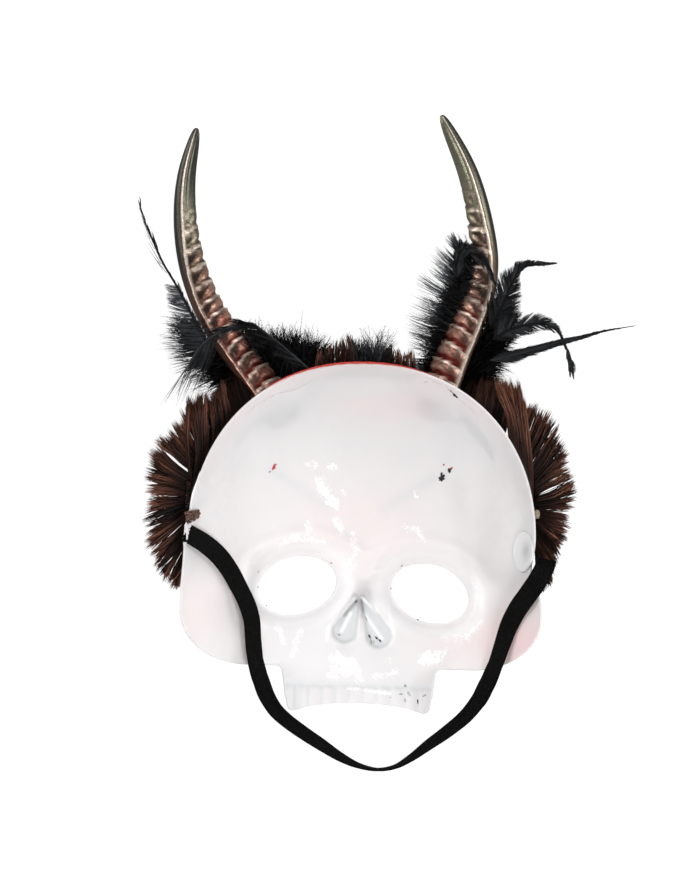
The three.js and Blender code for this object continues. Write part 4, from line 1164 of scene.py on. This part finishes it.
def make_fringe(name, fans, seed):
    rng = np.random.default_rng(seed)
    bundle = Bundle()
    for fan in fans:
        count, locks = fan["count"], fan["locks"]
        lock = rng.integers(0, locks, count)
        middle = (np.arange(locks) + 0.5 + rng.uniform(-0.25, 0.25, locks))[lock] / locks
        offset = rng.uniform(-0.5, 0.5, count) / locks
        stray = rng.random(count) < 0.2
        gather = np.where(stray, 2.2, rng.uniform(0.3, 0.9, locks)[lock])
        level = fan["level"]
        tip_level = fan.get("tip_level", level + 1)
        roots = smooth_line([(*p, level) for p in fan["roots"]], middle + 1.5 * offset)
        tips = smooth_line([(*p, tip_level) for p in fan["tips"]], middle + gather * offset)
        lock_reach = rng.uniform(0.9, 1.02, locks)[lock]
        reach = lock_reach * rng.uniform(0.94 - fan.get("ragged", 0.16), 1.02, count)
        tips = roots + (tips - roots) * reach[:, None]
        rise = rng.uniform(-1, 1, count)
        roots[:, 2] += 2.0 * rise
        tips[:, 2] += 3.0 * rise + rng.normal(0, 0.6, count)
        steps = np.linspace(0, 1, 6)[None, :, None]
        side = unit(np.cross(unit(tips - roots), [0, 0, 1.0]))[:, None]
        lock_bow = rng.normal(0, fan["bow"], locks)[lock] + fan.get("sweep", 0)
        bow = (lock_bow + rng.normal(0, 0.35, count))[:, None, None] * np.sin(math.pi * steps) * side
        flick = rng.normal(0, 0.5, count)[:, None, None] * steps**3 * side
        paths = roots[:, None] + (tips - roots)[:, None] * steps + bow + flick
        if "tip_level" in fan:
            paths = keep_outside(paths)
        thickness = rng.uniform(0.32, 0.6, count)[:, None] * np.array([1, 1, 1, 1, 1, 0.85])[None]
        shades = rng.uniform(*fan["shade"], locks)[lock] * rng.beta(0.9, 0.8, count) * 1.5
        bundle.add(paths, thickness, np.clip(shades, 0, 1))
    settle(bundle.piece(name + "_hair"), bristle_brown, nodes=[name], slot="bristle")


for seed, (name, fans) in enumerate(FRINGES.items()):
    make_fringe(name, fans, seed + 11)


# Feathers
def bent_paths(roots, headings, lengths, bends, rises, steps=7):
    """Paths seen from above: each leaves its root at a heading in degrees and turns by its bend on the way"""
    t = np.linspace(0, 1, steps)[None]
    turn = np.radians(np.asarray(headings)[:, None] + np.asarray(bends)[:, None] * t)
    pace = np.asarray(lengths)[:, None] / (steps - 1)
    x = np.concatenate([np.zeros((len(roots), 1)), np.cumsum(np.cos(turn[:, :-1]) * pace, axis=1)], axis=1)
    y = np.concatenate([np.zeros((len(roots), 1)), np.cumsum(np.sin(turn[:, :-1]) * pace, axis=1)], axis=1)
    z = np.asarray(rises)[:, None] * t**1.5
    return np.asarray(roots)[:, None] + np.stack([x, y, z], axis=-1)


def add_fuzz(bundle, rng, paths, per_strand, length, shades, thickness=0.13):
    """Short fine hairs on both sides of each strand, leaning towards its tip"""
    count = len(paths) * per_strand
    owner = np.repeat(np.arange(len(paths)), per_strand)
    place = rng.uniform(0.05, 0.99, count) * (paths.shape[1] - 1)
    low = np.minimum(place.astype(int), paths.shape[1] - 2)
    weight = (place - low)[:, None]
    start = paths[owner, low] * (1 - weight) + paths[owner, low + 1] * weight
    along = unit(paths[owner, low + 1] - paths[owner, low])
    level = unit(np.cross(along, [0, 0, 1.0])) * np.sign(rng.uniform(-1, 1, count))[:, None]
    away = unit(level + np.array([0, 0, 1.0]) * rng.normal(0, 0.5, count)[:, None])
    reach = (length * rng.uniform(0.5, 1.2, count) * (1.15 - 0.5 * place / (paths.shape[1] - 1)))[:, None]
    tips = start + (0.72 * away + 0.7 * along) * reach
    bundle.add(np.stack([start, tips], axis=1), np.array([[thickness, 0.0]]), shades[owner])


STRAND_TAPER = np.array([1, 0.95, 0.88, 0.78, 0.62, 0.42, 0.2])


def add_strands(bundle, rng, roots, headings, lengths, bend=12, rise=0.0, thickness=0.3, shade=(0, 0.4),
                fuzz=0, fuzz_length=1.2):
    """Loose strands of down from given roots"""
    count = len(roots)
    bends = rng.normal(0, bend, count)
    rises = rise + rng.normal(0, 1.5, count)
    paths = bent_paths(roots, headings, lengths, bends, rises)
    shades = rng.uniform(*shade, count)
    widths = thickness * rng.uniform(0.7, 1.2, count)[:, None] * STRAND_TAPER[None]
    bundle.add(paths, widths, shades)
    if fuzz:
        add_fuzz(bundle, rng, paths, fuzz, fuzz_length, shades)


def spread_roots(rng, route, count, scatter):
    """Roots scattered about a route, and where each is along it"""
    share = rng.uniform(0, 1, count)
    roots = smooth_line(route, share) + rng.normal(0, 1, (count, 3)) * np.array(scatter)
    return roots, share


def heading_along(route, share):
    ahead = smooth_line(route, np.clip(share + 0.01, 0, 1)) - smooth_line(route, np.clip(share - 0.01, 0, 1))
    return np.degrees(np.arctan2(ahead[:, 1], ahead[:, 0]))


def add_vane(bundle, rng, route, side, lengths, angles, spacing=0.3, start=0.0, end=1.0, thickness=0.3,
             shade=(0, 0.4), lock=8, part=7, curl=14, rise=0.0, ragged=0.12, fuzz=0):
    """One side of a feather's vane: barbs set close along the shaft, in locks that part at their tips.
    side is 1 on the left of the way the shaft runs, -1 on its right."""
    run = np.linalg.norm(np.diff(smooth_line(route, np.linspace(start, end, 60)), axis=0), axis=1).sum()
    count = max(int(run / spacing), 8)
    share = np.linspace(start, end, count) + rng.normal(0, 0.002, count)
    cuts = np.cumsum(rng.integers(max(lock // 2, 2), lock * 2, count))
    group = np.searchsorted(cuts, np.arange(count), side="right")
    place = np.array([(np.arange(count)[group == g]).mean() for g in group])
    gather = (np.arange(count) - place) / lock
    lock_turn = rng.normal(0, part, group.max() + 1)[group]
    lock_reach = rng.uniform(0.86, 1.06, group.max() + 1)[group]
    lock_rise = rng.normal(0, 1.0, group.max() + 1)[group]
    lean = along_profile(angles, share) + lock_turn + rng.normal(0, 1.5, count)
    reach = along_profile(lengths, share) * lock_reach * rng.uniform(1 - ragged, 1.0, count)
    bends = -side * curl * rng.uniform(0.6, 1.4, count) - side * gather * 6
    paths = bent_paths(smooth_line(route, share), heading_along(route, share) + side * lean, reach, bends,
                       rise + lock_rise * reach / 12)
    shades = np.clip(rng.uniform(*shade, count) + rng.normal(0, 0.06, group.max() + 1)[group], 0, 1)
    bundle.add(paths, thickness * rng.uniform(0.75, 1.2, count)[:, None] * STRAND_TAPER[None], shades)
    if fuzz:
        add_fuzz(bundle, rng, paths, fuzz, 0.9, shades)


def add_shaft(bundle, route, thickness, shade, rings=26):
    shares = np.linspace(0, 1, rings)
    at = smooth_line(route, shares)
    bundle.add(at[None], along_profile(thickness, shares)[None], shade, sides=6)


def grow_left_spire(bundle, rng):
    route = [(-77.3, 117.3, 33), (-82.4, 125.6, 30), (-87.6, 133.9, 27.5), (-92, 142.2, 26),
             (-96.4, 149.8, 25), (-103.4, 160.9, 22), (-108.5, 171.3, 20), (-113, 181, 18),
             (-116.1, 191.1, 17)]
    add_shaft(bundle, route, [1.7, 1.6, 1.5, 1.4, 1.3, 1.2, 1.0, 0.8, 0.4], 0.05)
    add_vane(bundle, rng, route, 1, [15, 13.5, 6.5, 5, 5], [62, 58, 54, 50, 40], 0.14, 0.0, 0.5, 0.28,
             (0.1, 0.8), part=3, curl=6, lock=16)
    add_vane(bundle, rng, route, -1, [5, 5, 4, 3, 2], [40, 30, 24, 20, 18], 0.3, 0.0, 0.55, 0.3, (0, 0.4))
    add_vane(bundle, rng, route, 1, [5, 5, 4, 4, 4, 3], [16, 14, 12, 12, 10, 8], 0.9, 0.58, 1.0, 0.24,
             (0.3, 0.8))
    add_vane(bundle, rng, route, -1, [4, 5, 3, 4, 7, 5], [18, 14, 12, 12, 13, 8], 0.35, 0.6, 0.98, 0.34,
             (0.0, 0.5))
    wisps = np.array([(-103.6, 157.6, 22), (-104.6, 160.6, 22), (-101.6, 156, 22), (-108, 168, 20.5),
                      (-110.5, 173, 20)])
    add_strands(bundle, rng, wisps, [125, 122, 128, 119, 112], [17, 15, 11, 11, 14], 3, 1, 0.34, (0.3, 0.7))


def add_down(bundle, rng, route, headings, lengths, scatter, layers, spread=14, bend=16, rise=0.0):
    """Down in layers, each its count of strands, share of the full length, thickness, shades and fuzz"""
    for count, scale, thickness, shades, fuzz in layers:
        roots, share = spread_roots(rng, route, count, scatter)
        heading = along_profile(headings, share) + rng.normal(0, spread, count)
        reach = along_profile(lengths, share) * scale * rng.uniform(0.65, 1.06, count)
        add_strands(bundle, rng, roots, heading, reach, bend, rise, thickness, shades, fuzz, 1.6)


def grow_left_down(bundle, rng):
    route = [(-64, 97, 15), (-72, 108, 13), (-78, 116, 12), (-83, 123, 12), (-88, 131, 13)]
    layers = [(300, 0.5, 0.9, (0.0, 0.05), 6), (130, 0.8, 0.5, (0.0, 0.3), 5), (70, 1.1, 0.36, (0.1, 0.9), 8)]
    add_down(bundle, rng, route, [214, 208, 196, 180, 164], [14, 18, 21, 20, 14], (1.8, 1.8, 2.0), layers,
             9, 22, 8)
    under_horn = [(-58, 99, 11), (-63, 108, 8), (-68.5, 117, 7), (-73, 125, 7)]
    behind = [(420, 0.9, 0.9, (0.0, 0.04), 6)]
    add_down(bundle, rng, under_horn, [214, 206, 200, 190], [13, 14, 14, 12], (1.6, 2.0, 1.2), behind, 12,
             20, 3)
    add_vane(bundle, rng, route, 1, [15, 20, 24, 22, 16], [90, 84, 72, 58, 42], 0.17, thickness=0.42,
             shade=(0.1, 0.9), part=11, curl=10, lock=14, rise=8, ragged=0.3, fuzz=5)


def grow_left_crossing(bundle, rng):
    route = [(-29.4, 110.2, 52), (-34.4, 114.2, 49.5), (-44.5, 122.4, 42), (-53.8, 129.2, 35.5),
             (-58, 131.9, 33), (-65, 131, 33), (-73.4, 127.3, 39), (-80.9, 122.2, 43), (-87.7, 112.9, 48),
             (-91.7, 102.9, 51), (-94.5, 90.9, 53)]
    add_shaft(bundle, route, [1.0, 1.0, 1.0, 1.0, 1.1, 1.2, 1.0, 0.8, 0.6, 0.4, 0.2], 0.35)
    add_vane(bundle, rng, route, 1, [13, 14, 13, 11, 8], [24, 26, 28, 26, 18], 0.13, 0.0, 0.42, 0.42,
             (0.0, 0.08), curl=6)
    over_horn = np.array([(-58, 131, 34), (-61, 131.6, 33.6), (-64, 130.6, 34), (-67, 129.6, 35)])
    roots = np.repeat(over_horn, 9, axis=0) + rng.normal(0, 0.45, (36, 3))
    add_strands(bundle, rng, roots, rng.normal(196, 5, 36), rng.uniform(16, 24, 36), 14, 7, 0.42, (0.0, 0.6))
    fan = smooth_line(route, rng.uniform(0.58, 0.74, 44)) + rng.normal(0, 0.6, (44, 3))
    heading = rng.choice([236, 240, 243, 246, 250, 254], 44) + rng.normal(0, 1.0, 44)
    add_strands(bundle, rng, fan, heading, rng.uniform(24, 37, 44), 5, 8, 0.42, (0.0, 0.4), 8, 0.8)


def grow_left_inner(bundle, rng):
    route = [(-62, 122, 11), (-56, 113.5, 13), (-50, 107.5, 15), (-42, 106.5, 18), (-33, 107.5, 24),
             (-25, 108.5, 30)]
    layers = [(700, 0.8, 1.0, (0.0, 0.06), 6), (420, 0.93, 0.5, (0.0, 0.3), 16),
              (200, 0.98, 0.36, (0.1, 0.7), 30)]
    add_down(bundle, rng, route, [66, 68, 72, 76, 76, 66], [12, 18, 26, 29, 25, 17], (2.2, 2.2, 1.6),
             layers, 24, 46, 6)


def grow_top(bundle, rng):
    route = [(-2, 110, 50), (1, 112.5, 50.5), (4, 114, 51), (7, 115, 51)]
    layers = [(70, 0.8, 0.34, (0.0, 0.2), 10), (60, 1.05, 0.28, (0.1, 0.8), 30)]
    add_down(bundle, rng, route, [112, 98, 84, 66], [17, 19, 18, 15], (1.8, 1.2, 0.8), layers, 16, 34)


def grow_right_plume(bundle, rng):
    route = [(33.5, 108, 20), (38.5, 122, 14), (43.5, 134, 9), (48.6, 145.3, 7), (50.5, 155.1, 7),
             (49.5, 164.7, 9), (46.5, 171.6, 11)]
    layers = [(680, 0.52, 0.9, (0.0, 0.05), 8), (200, 0.66, 0.5, (0.0, 0.4), 10),
              (60, 0.9, 0.36, (0.25, 1.0), 20)]
    add_down(bundle, rng, route, [176, 170, 162, 152, 140, 122, 104], [17, 20, 25, 29, 23, 17, 10],
             (1.4, 1.6, 2.0), layers, 9, 18, 5)
    add_vane(bundle, rng, route, 1, [17, 20, 26, 30, 25, 19, 12], [104, 104, 98, 86, 56, 32, 14], 0.13,
             thickness=0.4, shade=(0.5, 1.0), part=11, curl=12, lock=22, rise=12, ragged=0.4, fuzz=8)


def grow_right_arching(bundle, rng):
    route = [(43.5, 157.4, 21), (43.7, 165.4, 20), (46.7, 171.8, 19.5), (51.5, 171.2, 19), (56.4, 168.1, 19),
             (59.7, 162.6, 19), (62.3, 156.3, 18.5)]
    add_shaft(bundle, route, [1.3, 1.2, 1.1, 1.0, 0.9, 0.7, 0.3], 0.0)
    add_vane(bundle, rng, route, 1, [7, 7, 6, 4, 5, 5, 3], [34, 30, 24, 18, 16, 14, 10], 0.14, thickness=0.4,
             shade=(0, 0.12), part=5)
    add_vane(bundle, rng, route, -1, [7, 9, 12, 11, 7, 5, 3], [44, 44, 42, 34, 20, 14, 10], 0.14,
             thickness=0.4, shade=(0, 0.3), part=7)
    roots = np.array([46.5, 152.5, 17.5]) + rng.normal(0, 1, (40, 3)) * np.array([0.8, 3.0, 0.5])
    add_strands(bundle, rng, roots, rng.uniform(-8, 16, 40), rng.uniform(11, 17, 40), 26, 1, 0.22, (0, 0.2))


def grow_right_curled(bundle, rng):
    route = [(61.3, 133.1, 28), (65.1, 139.6, 25), (68.8, 149.3, 22), (72.2, 157.3, 19.5), (75.2, 162.6, 18),
             (81.2, 165.4, 17), (92.5, 166.1, 16)]
    add_shaft(bundle, route, [1.5, 1.4, 1.2, 1.0, 0.8, 0.6, 0.25], 0.0)
    add_vane(bundle, rng, route, 1, [10, 13, 13, 9, 6, 4, 2], [48, 44, 38, 30, 24, 20, 12], 0.11,
             thickness=0.42, shade=(0, 0.2), part=4, curl=8, lock=12)
    add_vane(bundle, rng, route, -1, [17, 14, 9, 5, 6, 6, 2], [50, 46, 38, 28, 22, 16, 10], 0.11,
             thickness=0.42, shade=(0, 0.14), part=4, curl=-8, lock=12)


def grow_right_drooping(bundle, rng):
    route = [(63, 126.8, 34), (69.3, 131.3, 33), (75.6, 133.5, 32), (82.7, 135.3, 31), (89.1, 135.1, 30.5),
             (94, 132.4, 29.5), (98.1, 126.1, 28.5), (100.7, 119, 27.5), (102, 112.2, 26.5)]
    add_shaft(bundle, route, [1.5, 1.4, 1.3, 1.1, 1.0, 0.8, 0.6, 0.4, 0.2], 0.0)
    add_vane(bundle, rng, route, 1, [10, 11, 11, 9, 7, 4, 4, 8, 5], [48, 42, 36, 28, 22, 15, 16, 22, 12],
             0.12, thickness=0.36, shade=(0, 0.3), part=4, lock=12)
    add_vane(bundle, rng, route, -1, [10, 10, 9, 8, 7, 3, 4, 7, 4], [48, 44, 38, 34, 28, 15, 14, 18, 10],
             0.14, thickness=0.36, shade=(0.0, 0.3), part=5, lock=12)


def grow_right_spire(bundle, rng):
    route = [(61.7, 116.4, 29), (69.6, 118.6, 27), (81.5, 122.1, 24), (93.4, 125.8, 21.5), (105.2, 128.9, 19),
             (117.1, 132.4, 16.5), (135.6, 136.2, 14)]
    add_shaft(bundle, route, [1.3, 1.2, 1.1, 1.0, 0.8, 0.6, 0.2], 0.2)
    add_vane(bundle, rng, route, 1, [9, 9, 8, 6.5, 6, 4, 1.5], [22, 18, 16, 14, 12, 9, 3], 0.12, 0, 0.97,
             thickness=0.36, shade=(0, 0.28), part=0.8, curl=8, lock=5, ragged=0.06)
    add_vane(bundle, rng, route, -1, [12, 11, 9.5, 8, 6, 4, 1.5], [24, 20, 18, 16, 12, 9, 3], 0.12, 0, 0.97,
             thickness=0.36, shade=(0.0, 0.4), part=0.8, curl=8, lock=5, ragged=0.06)


def grow_right_down(bundle, rng):
    route = [(45.5, 101, 12), (50.5, 109, 9), (55, 118, 6.5), (59.5, 128, 5.5), (62, 139, 5)]
    layers = [(1000, 0.9, 1.2, (0.0, 0.03), 4), (460, 1.1, 0.6, (0.0, 0.1), 10),
              (160, 1.2, 0.3, (0.1, 0.5), 20)]
    add_down(bundle, rng, route, [6, 12, 22, 34, 46], [17, 17, 17, 17, 16], (1.4, 2.6, 1.6), layers, 22, 14,
             6)


FEATHERS = {
    "feather_left_spire": grow_left_spire,
    "feather_left_down": grow_left_down,
    "feather_left_crossing": grow_left_crossing,
    "feather_left_inner": grow_left_inner,
    "feather_top": grow_top,
    "feather_right_plume": grow_right_plume,
    "feather_right_arching": grow_right_arching,
    "feather_right_curled": grow_right_curled,
    "feather_right_drooping": grow_right_drooping,
    "feather_right_spire": grow_right_spire,
    "feather_right_down": grow_right_down,
}
for seed, (name, grow) in enumerate(FEATHERS.items(), start=31):
    feather = Bundle()
    grow(feather, np.random.default_rng(seed))
    settle(feather.piece(name + "_barbs"), feather_black, nodes=[name], slot="feather")


# Strap
def make_strap():
    lengthwise, across = 420, 8
    bpy.ops.mesh.primitive_grid_add(x_subdivisions=across, y_subdivisions=lengthwise, size=1, calc_uvs=True)
    strap = bpy.context.object
    strap.name = "elastic_strap_band"
    flat = points_of(strap)
    share = flat[:, 1] + 0.5
    centre = smooth_line([p[:3] for p in STRAP_ROUTE], share)
    ahead = smooth_line([p[:3] for p in STRAP_ROUTE], np.clip(share + 0.002, 0, 1))
    behind = smooth_line([p[:3] for p in STRAP_ROUTE], np.clip(share - 0.002, 0, 1))
    along = unit(ahead - behind)
    lean = np.radians(along_profile([p[3] for p in STRAP_ROUTE], share))
    level = unit(np.stack([along[:, 1], -along[:, 0], np.zeros(len(along))], axis=-1))
    width = level * np.cos(lean)[:, None] + np.array([0, 0, 1.0]) * np.sin(lean)[:, None]
    width = unit(width - along * (width * along).sum(1, keepdims=True))
    points = centre + width * (flat[:, 0] * STRAP_WIDTH)[:, None]
    reshape(strap, points)
    strap.location = (0, 0, 0)
    body = strap.modifiers.new("thickness", "SOLIDIFY")
    body.thickness = STRAP_THICKNESS * MM
    body.offset = 0
    edge = strap.modifiers.new("soft_edges", "BEVEL")
    edge.width = 0.35 * MM
    edge.segments = 2
    edge.limit_method = "ANGLE"
    edge.angle_limit = math.radians(60)
    apply_modifiers(strap)
    bpy.ops.object.shade_smooth_by_angle(angle=math.radians(50))
    settle(strap, elastic, nodes=["elastic_strap"], slot="elastic")


make_strap()


# Small things at the strap's ends: the clear disc, the fringe's tape, torn clear plastic and a drop of glue
def make_disc():
    """A clear disc pressed against the wall inside the right temple"""
    bpy.ops.mesh.primitive_circle_add(vertices=64, radius=1, fill_type="TRIFAN")
    disc = bpy.context.object
    disc.name = "strap_disc"
    bpy.ops.object.mode_set(mode="EDIT")
    bpy.ops.mesh.select_all(action="SELECT")
    bpy.ops.mesh.subdivide(number_cuts=15)
    bpy.ops.object.mode_set(mode="OBJECT")
    flat = points_of(disc)
    far = np.minimum(np.hypot(flat[:, 0], flat[:, 1]), 1)
    ring = bell((far - 0.93) / 0.05)
    dent = bell((flat[:, 0] - 0.28) / 0.42, flat[:, 1] / 0.42)
    lift = 0.55 + 0.4 * ring - 0.5 * dent - 0.5 * smoothstep(0.97, 1.0, far)
    spot = DISC_CENTRE + DISC_REACH * flat[:, :2]
    points, _ = on_inside(spot[:, 0], spot[:, 1], lift)
    reshape(disc, points)
    mark(disc, "dent", dent)
    body = disc.modifiers.new("thickness", "SOLIDIFY")
    body.thickness = 0.9 * MM
    body.offset = -1
    apply_modifiers(disc)
    bpy.ops.object.shade_smooth()
    settle(disc, clear_plastic, nodes=["strap_rivet"], slot="clear_plastic")


def make_sheet(name, corners, lift, rumple, thickness, finish, nodes, slot,
               steps=(26, 20), torn=0.0, highest=59.0):
    """A small soft sheet laid on the shell's inside between four corners, rumpled and with uneven edges"""
    bpy.ops.mesh.primitive_grid_add(x_subdivisions=steps[0], y_subdivisions=steps[1], size=1)
    sheet = bpy.context.object
    sheet.name = name
    flat = points_of(sheet)
    u, v = flat[:, 0] + 0.5, flat[:, 1] + 0.5
    first, second, third, fourth = (np.array(c) for c in corners)
    spread = (first * ((1 - u) * (1 - v))[:, None] + second * (u * (1 - v))[:, None]
              + third * (u * v)[:, None] + fourth * ((1 - u) * v)[:, None])
    wave = np.array([noise.noise(Vector((a * 0.9, b * 0.9, 3))) for a, b in spread])
    fray = np.array([noise.noise(Vector((a * 2.3, b * 2.3, 9))) for a, b in spread])
    edge = np.clip(np.maximum(np.abs(flat[:, 0]), np.abs(flat[:, 1])) * 2, 0, 1) ** 6
    spread = spread + (torn * fray * edge)[:, None] * np.array([1.0, 0.7])
    points, _ = on_inside(spread[:, 0], spread[:, 1], lift + rumple * wave)
    points[:, 2] = np.minimum(points[:, 2], highest + rumple * wave)
    reshape(sheet, points)
    body = sheet.modifiers.new("thickness", "SOLIDIFY")
    body.thickness = thickness * MM
    body.offset = 0
    apply_modifiers(sheet)
    bpy.ops.object.shade_smooth()
    settle(sheet, finish, nodes=nodes, slot=slot)


def make_glue_drop():
    bpy.ops.mesh.primitive_uv_sphere_add(segments=28, ring_count=18, radius=1)
    drop = bpy.context.object
    drop.name = "glue_drop"
    ball = points_of(drop)
    bumps = np.array([noise.noise(Vector(p * 1.6)) for p in ball])
    ball = ball * (1 + 0.25 * bumps)[:, None]
    reshape(drop, GLUE_SPOT + ball * GLUE_REACH)
    bpy.ops.object.shade_smooth()
    settle(drop, glue, slot="clear_plastic")


DISC_CENTRE = np.array([80.4, 21.4])
DISC_REACH = np.array([4.8, 10.4])
GLUE_SPOT = np.array([86.6, 40.2, 47.5])
GLUE_REACH = np.array([1.7, 2.2, 1.5])
TAPE_CORNERS = [(-88.6, 30.9), (-82.4, 34.7), (-82.6, 38.3), (-89.8, 37.4)]
HEADER_CORNERS = [(-89.4, 38.5), (-88.0, 38.8), (-86.7, 52.0), (-88.4, 52.0)]
LIP_CORNERS = [(-89.8, 29.8), (-87.6, 29.0), (-82.4, 34.6), (-89.2, 32.0)]
LIP_TAIL_CORNERS = [(-90.4, 20.4), (-89.2, 20.4), (-87.4, 28.6), (-89.8, 30.4)]

make_disc()
make_sheet("fringe_tape_turned_in", TAPE_CORNERS, 1.1, 0.7, 0.9, woven_tape, ["fringe_tape_end"], "tape",
           torn=0.55)
make_sheet("fringe_header", HEADER_CORNERS, 0.4, 0.8, 1.0, header_tape, [], "tape", (10, 40), 0.5,
           highest=48.5)
make_sheet("torn_lip", LIP_CORNERS, 1.2, 0.5, 0.6, lip_plastic, [], "shell_plastic", torn=0.35)
make_sheet("torn_lip_tail", LIP_TAIL_CORNERS, 1.2, 0.5, 0.6, lip_plastic, [], "shell_plastic", (10, 26), 0.25)
make_glue_drop()


# Specks and strokes of dark paint on the inside, and painted shade in the gap by the right horn's pad:
# where each starts and ends, its width, and how dark it is
PAINT_AND_SHADE_STROKES = [
    ((-1.9, -5.3), (-2.9, -7.2), 1.1, 0.8), ((-3.2, -7.6), (-6.4, -11.6), 0.7, 0.3),
    ((-5.0, -9.6), (-8.6, -14.2), 1.3, 0.3), ((-11.2, -22.6), (-9.8, -23.4), 0.8, 0.6),
    ((1.2, -7.0), (1.5, -11.4), 1.0, 0.45), ((1.9, -11.6), (3.6, -16.4), 0.6, 0.25),
    ((4.3, -22.4), (5.4, -24.6), 0.9, 0.95), ((5.4, -24.8), (6.2, -27.6), 0.5, 0.6),
    ((7.6, -23.4), (9.0, -24.8), 0.9, 1.0), ((9.3, -24.6), (10.9, -26.2), 0.8, 0.95),
    ((6.6, -25.4), (7.4, -26.8), 0.4, 0.6), ((-2.9, -24.8), (-1.9, -26.8), 0.3, 0.3),
    ((-15.6, 12.6), (-15.0, 13.2), 0.7, 0.9), ((-51.9, 7.2), (-51.4, 8.2), 0.5, 0.7),
    ((-51.9, 0.4), (-51.3, -0.6), 0.5, 0.7), ((-47.6, -8.9), (-46.9, -9.4), 0.6, 0.8),
    ((14.8, 1.4), (15.1, 0.4), 0.6, 0.8), ((28.2, -14.2), (29.4, -14.4), 0.6, 0.8),
    ((19.6, 12.0), (20.6, 12.8), 0.6, 0.8), ((38.9, 59.9), (39.0, 55.0), 1.9, 1.0),
    ((37.2, 57.2), (40.6, 56.6), 1.7, 1.0), ((37.8, 55.6), (40.4, 58.8), 1.5, 1.0),
    ((41.8, 60.6), (43.6, 61.8), 1.8, 1.0), ((42.6, 59.4), (43.2, 61.8), 1.3, 1.0),
    ((-47.8, 57.4), (-46.9, 58.4), 0.8, 0.7), ((22.9, -47.2), (24.0, -48.6), 1.2, 0.5),
    ((20.4, -52.2), (22.2, -52.0), 0.9, 0.45), ((24.6, -50.6), (26.2, -53.0), 1.6, 0.12),
    ((29.9, -54.2), (30.1, -57.0), 0.9, 0.95), ((32.2, -53.0), (34.2, -51.8), 0.9, 0.4),
    ((23.4, -54.0), (23.6, -56.4), 0.7, 0.45), ((15.8, -53.8), (16.6, -54.0), 0.5, 0.4),
    # The last two strokes are painted shade in the gap beside the right horn's pad
    ((28.5, 104.2), (30.6, 105.4), 0.3, 0.5), ((40.4, 102.0), (43.6, 99.4), 1.0, 0.6),
    ((43.2, 99.7), (45.8, 97.2), 1.9, 1.0),
]


RED_STROKES = [
    ((-46.2, 58.6), (-44.6, 62.2), 1.7, 0.6), ((-45.6, 61.2), (-43.8, 61.6), 1.1, 0.6),
    ((39.3, 64.0), (40.2, 63.6), 1.3, 0.6), ((43.2, 61.4), (44.2, 62.6), 1.1, 0.6),
]


# Edges of the pads under the horns' seats, from one point to the next
PAD_EDGES = [
    [(20.4, 104.6), (21.3, 107.6), (24.6, 108.2), (33.5, 105.0), (40.2, 102.3), (43.4, 99.0), (49.5, 94.2),
     (54.5, 89.6), (56.8, 84.0)],
    [(-58.6, 85.0), (-57.0, 88.8), (-52.4, 92.4), (-44.6, 96.8), (-35.2, 99.4), (-28.6, 103.0),
     (-25.2, 105.6)],
]


def make_strokes():
    add_strokes("paint_and_shade_strokes", stroke_paint_and_shade, PAINT_AND_SHADE_STROKES)
    add_strokes("red_strokes", red_paint, RED_STROKES)
    bundle = Bundle()
    for edge in PAD_EDGES:
        x, y, _ = smooth_line([(*point, 0) for point in edge], np.linspace(0, 1, 60)).T
        points, _ = on_inside(x, y, np.full(60, -0.05))
        bundle.add(points[None], (0.55 * np.sin(np.linspace(0.3, 2.8, 60)))[None], 0.5, sides=8, flatten=0.8)
    settle(bundle.piece("pad_edges", outside=False), pad_plastic, slot="shell_plastic")


def add_strokes(name, finish, strokes):
    bundle = Bundle()
    for start, end, width, darkness in strokes:
        share = np.linspace(0, 1, 9)
        x = start[0] + (end[0] - start[0]) * share
        y = start[1] + (end[1] - start[1]) * share
        points, _ = on_inside(x, y, np.full(9, 0.02))
        swell = np.maximum(np.sin(math.pi * (0.08 + 0.84 * share)), 0.1)
        swell = swell * (1 + 0.3 * np.sin(9 * share + start[0]))
        bundle.add(points[None], (width * swell)[None], darkness, sides=8, flatten=0.3)
    settle(bundle.piece(name, outside=False), finish, slot="shell_plastic")


def make_rim_paint():
    """The front's red paint, seen as a bead beyond the rim's upper edge"""
    side = np.linspace(-52, 40, 120)
    y = RIM_CENTRE_Y + RIM_TOP_HEIGHT * (1 - np.abs(side / RIM_HALF_WIDTH) ** RIM_POWER) ** (1 / RIM_POWER)
    level = inner_height(side, y - 0.3) - 0.9 + 0.1 * np.sin(side)
    middle = bell((side + 8) / 30)
    fading = smoothstep(-52, -44, side) * smoothstep(40, 10, side)
    swell = fading * (0.45 + 0.55 * middle) * (1 + 0.12 * np.sin(0.9 * side))
    bundle = Bundle()
    bundle.add(np.stack([side, y + 0.3, level], axis=-1)[None], (1.08 * swell + 0.05)[None], 0.85, sides=8)
    settle(bundle.piece("rim_red_paint", outside=False), red_paint, slot="shell_plastic")


make_strokes()
make_rim_paint()
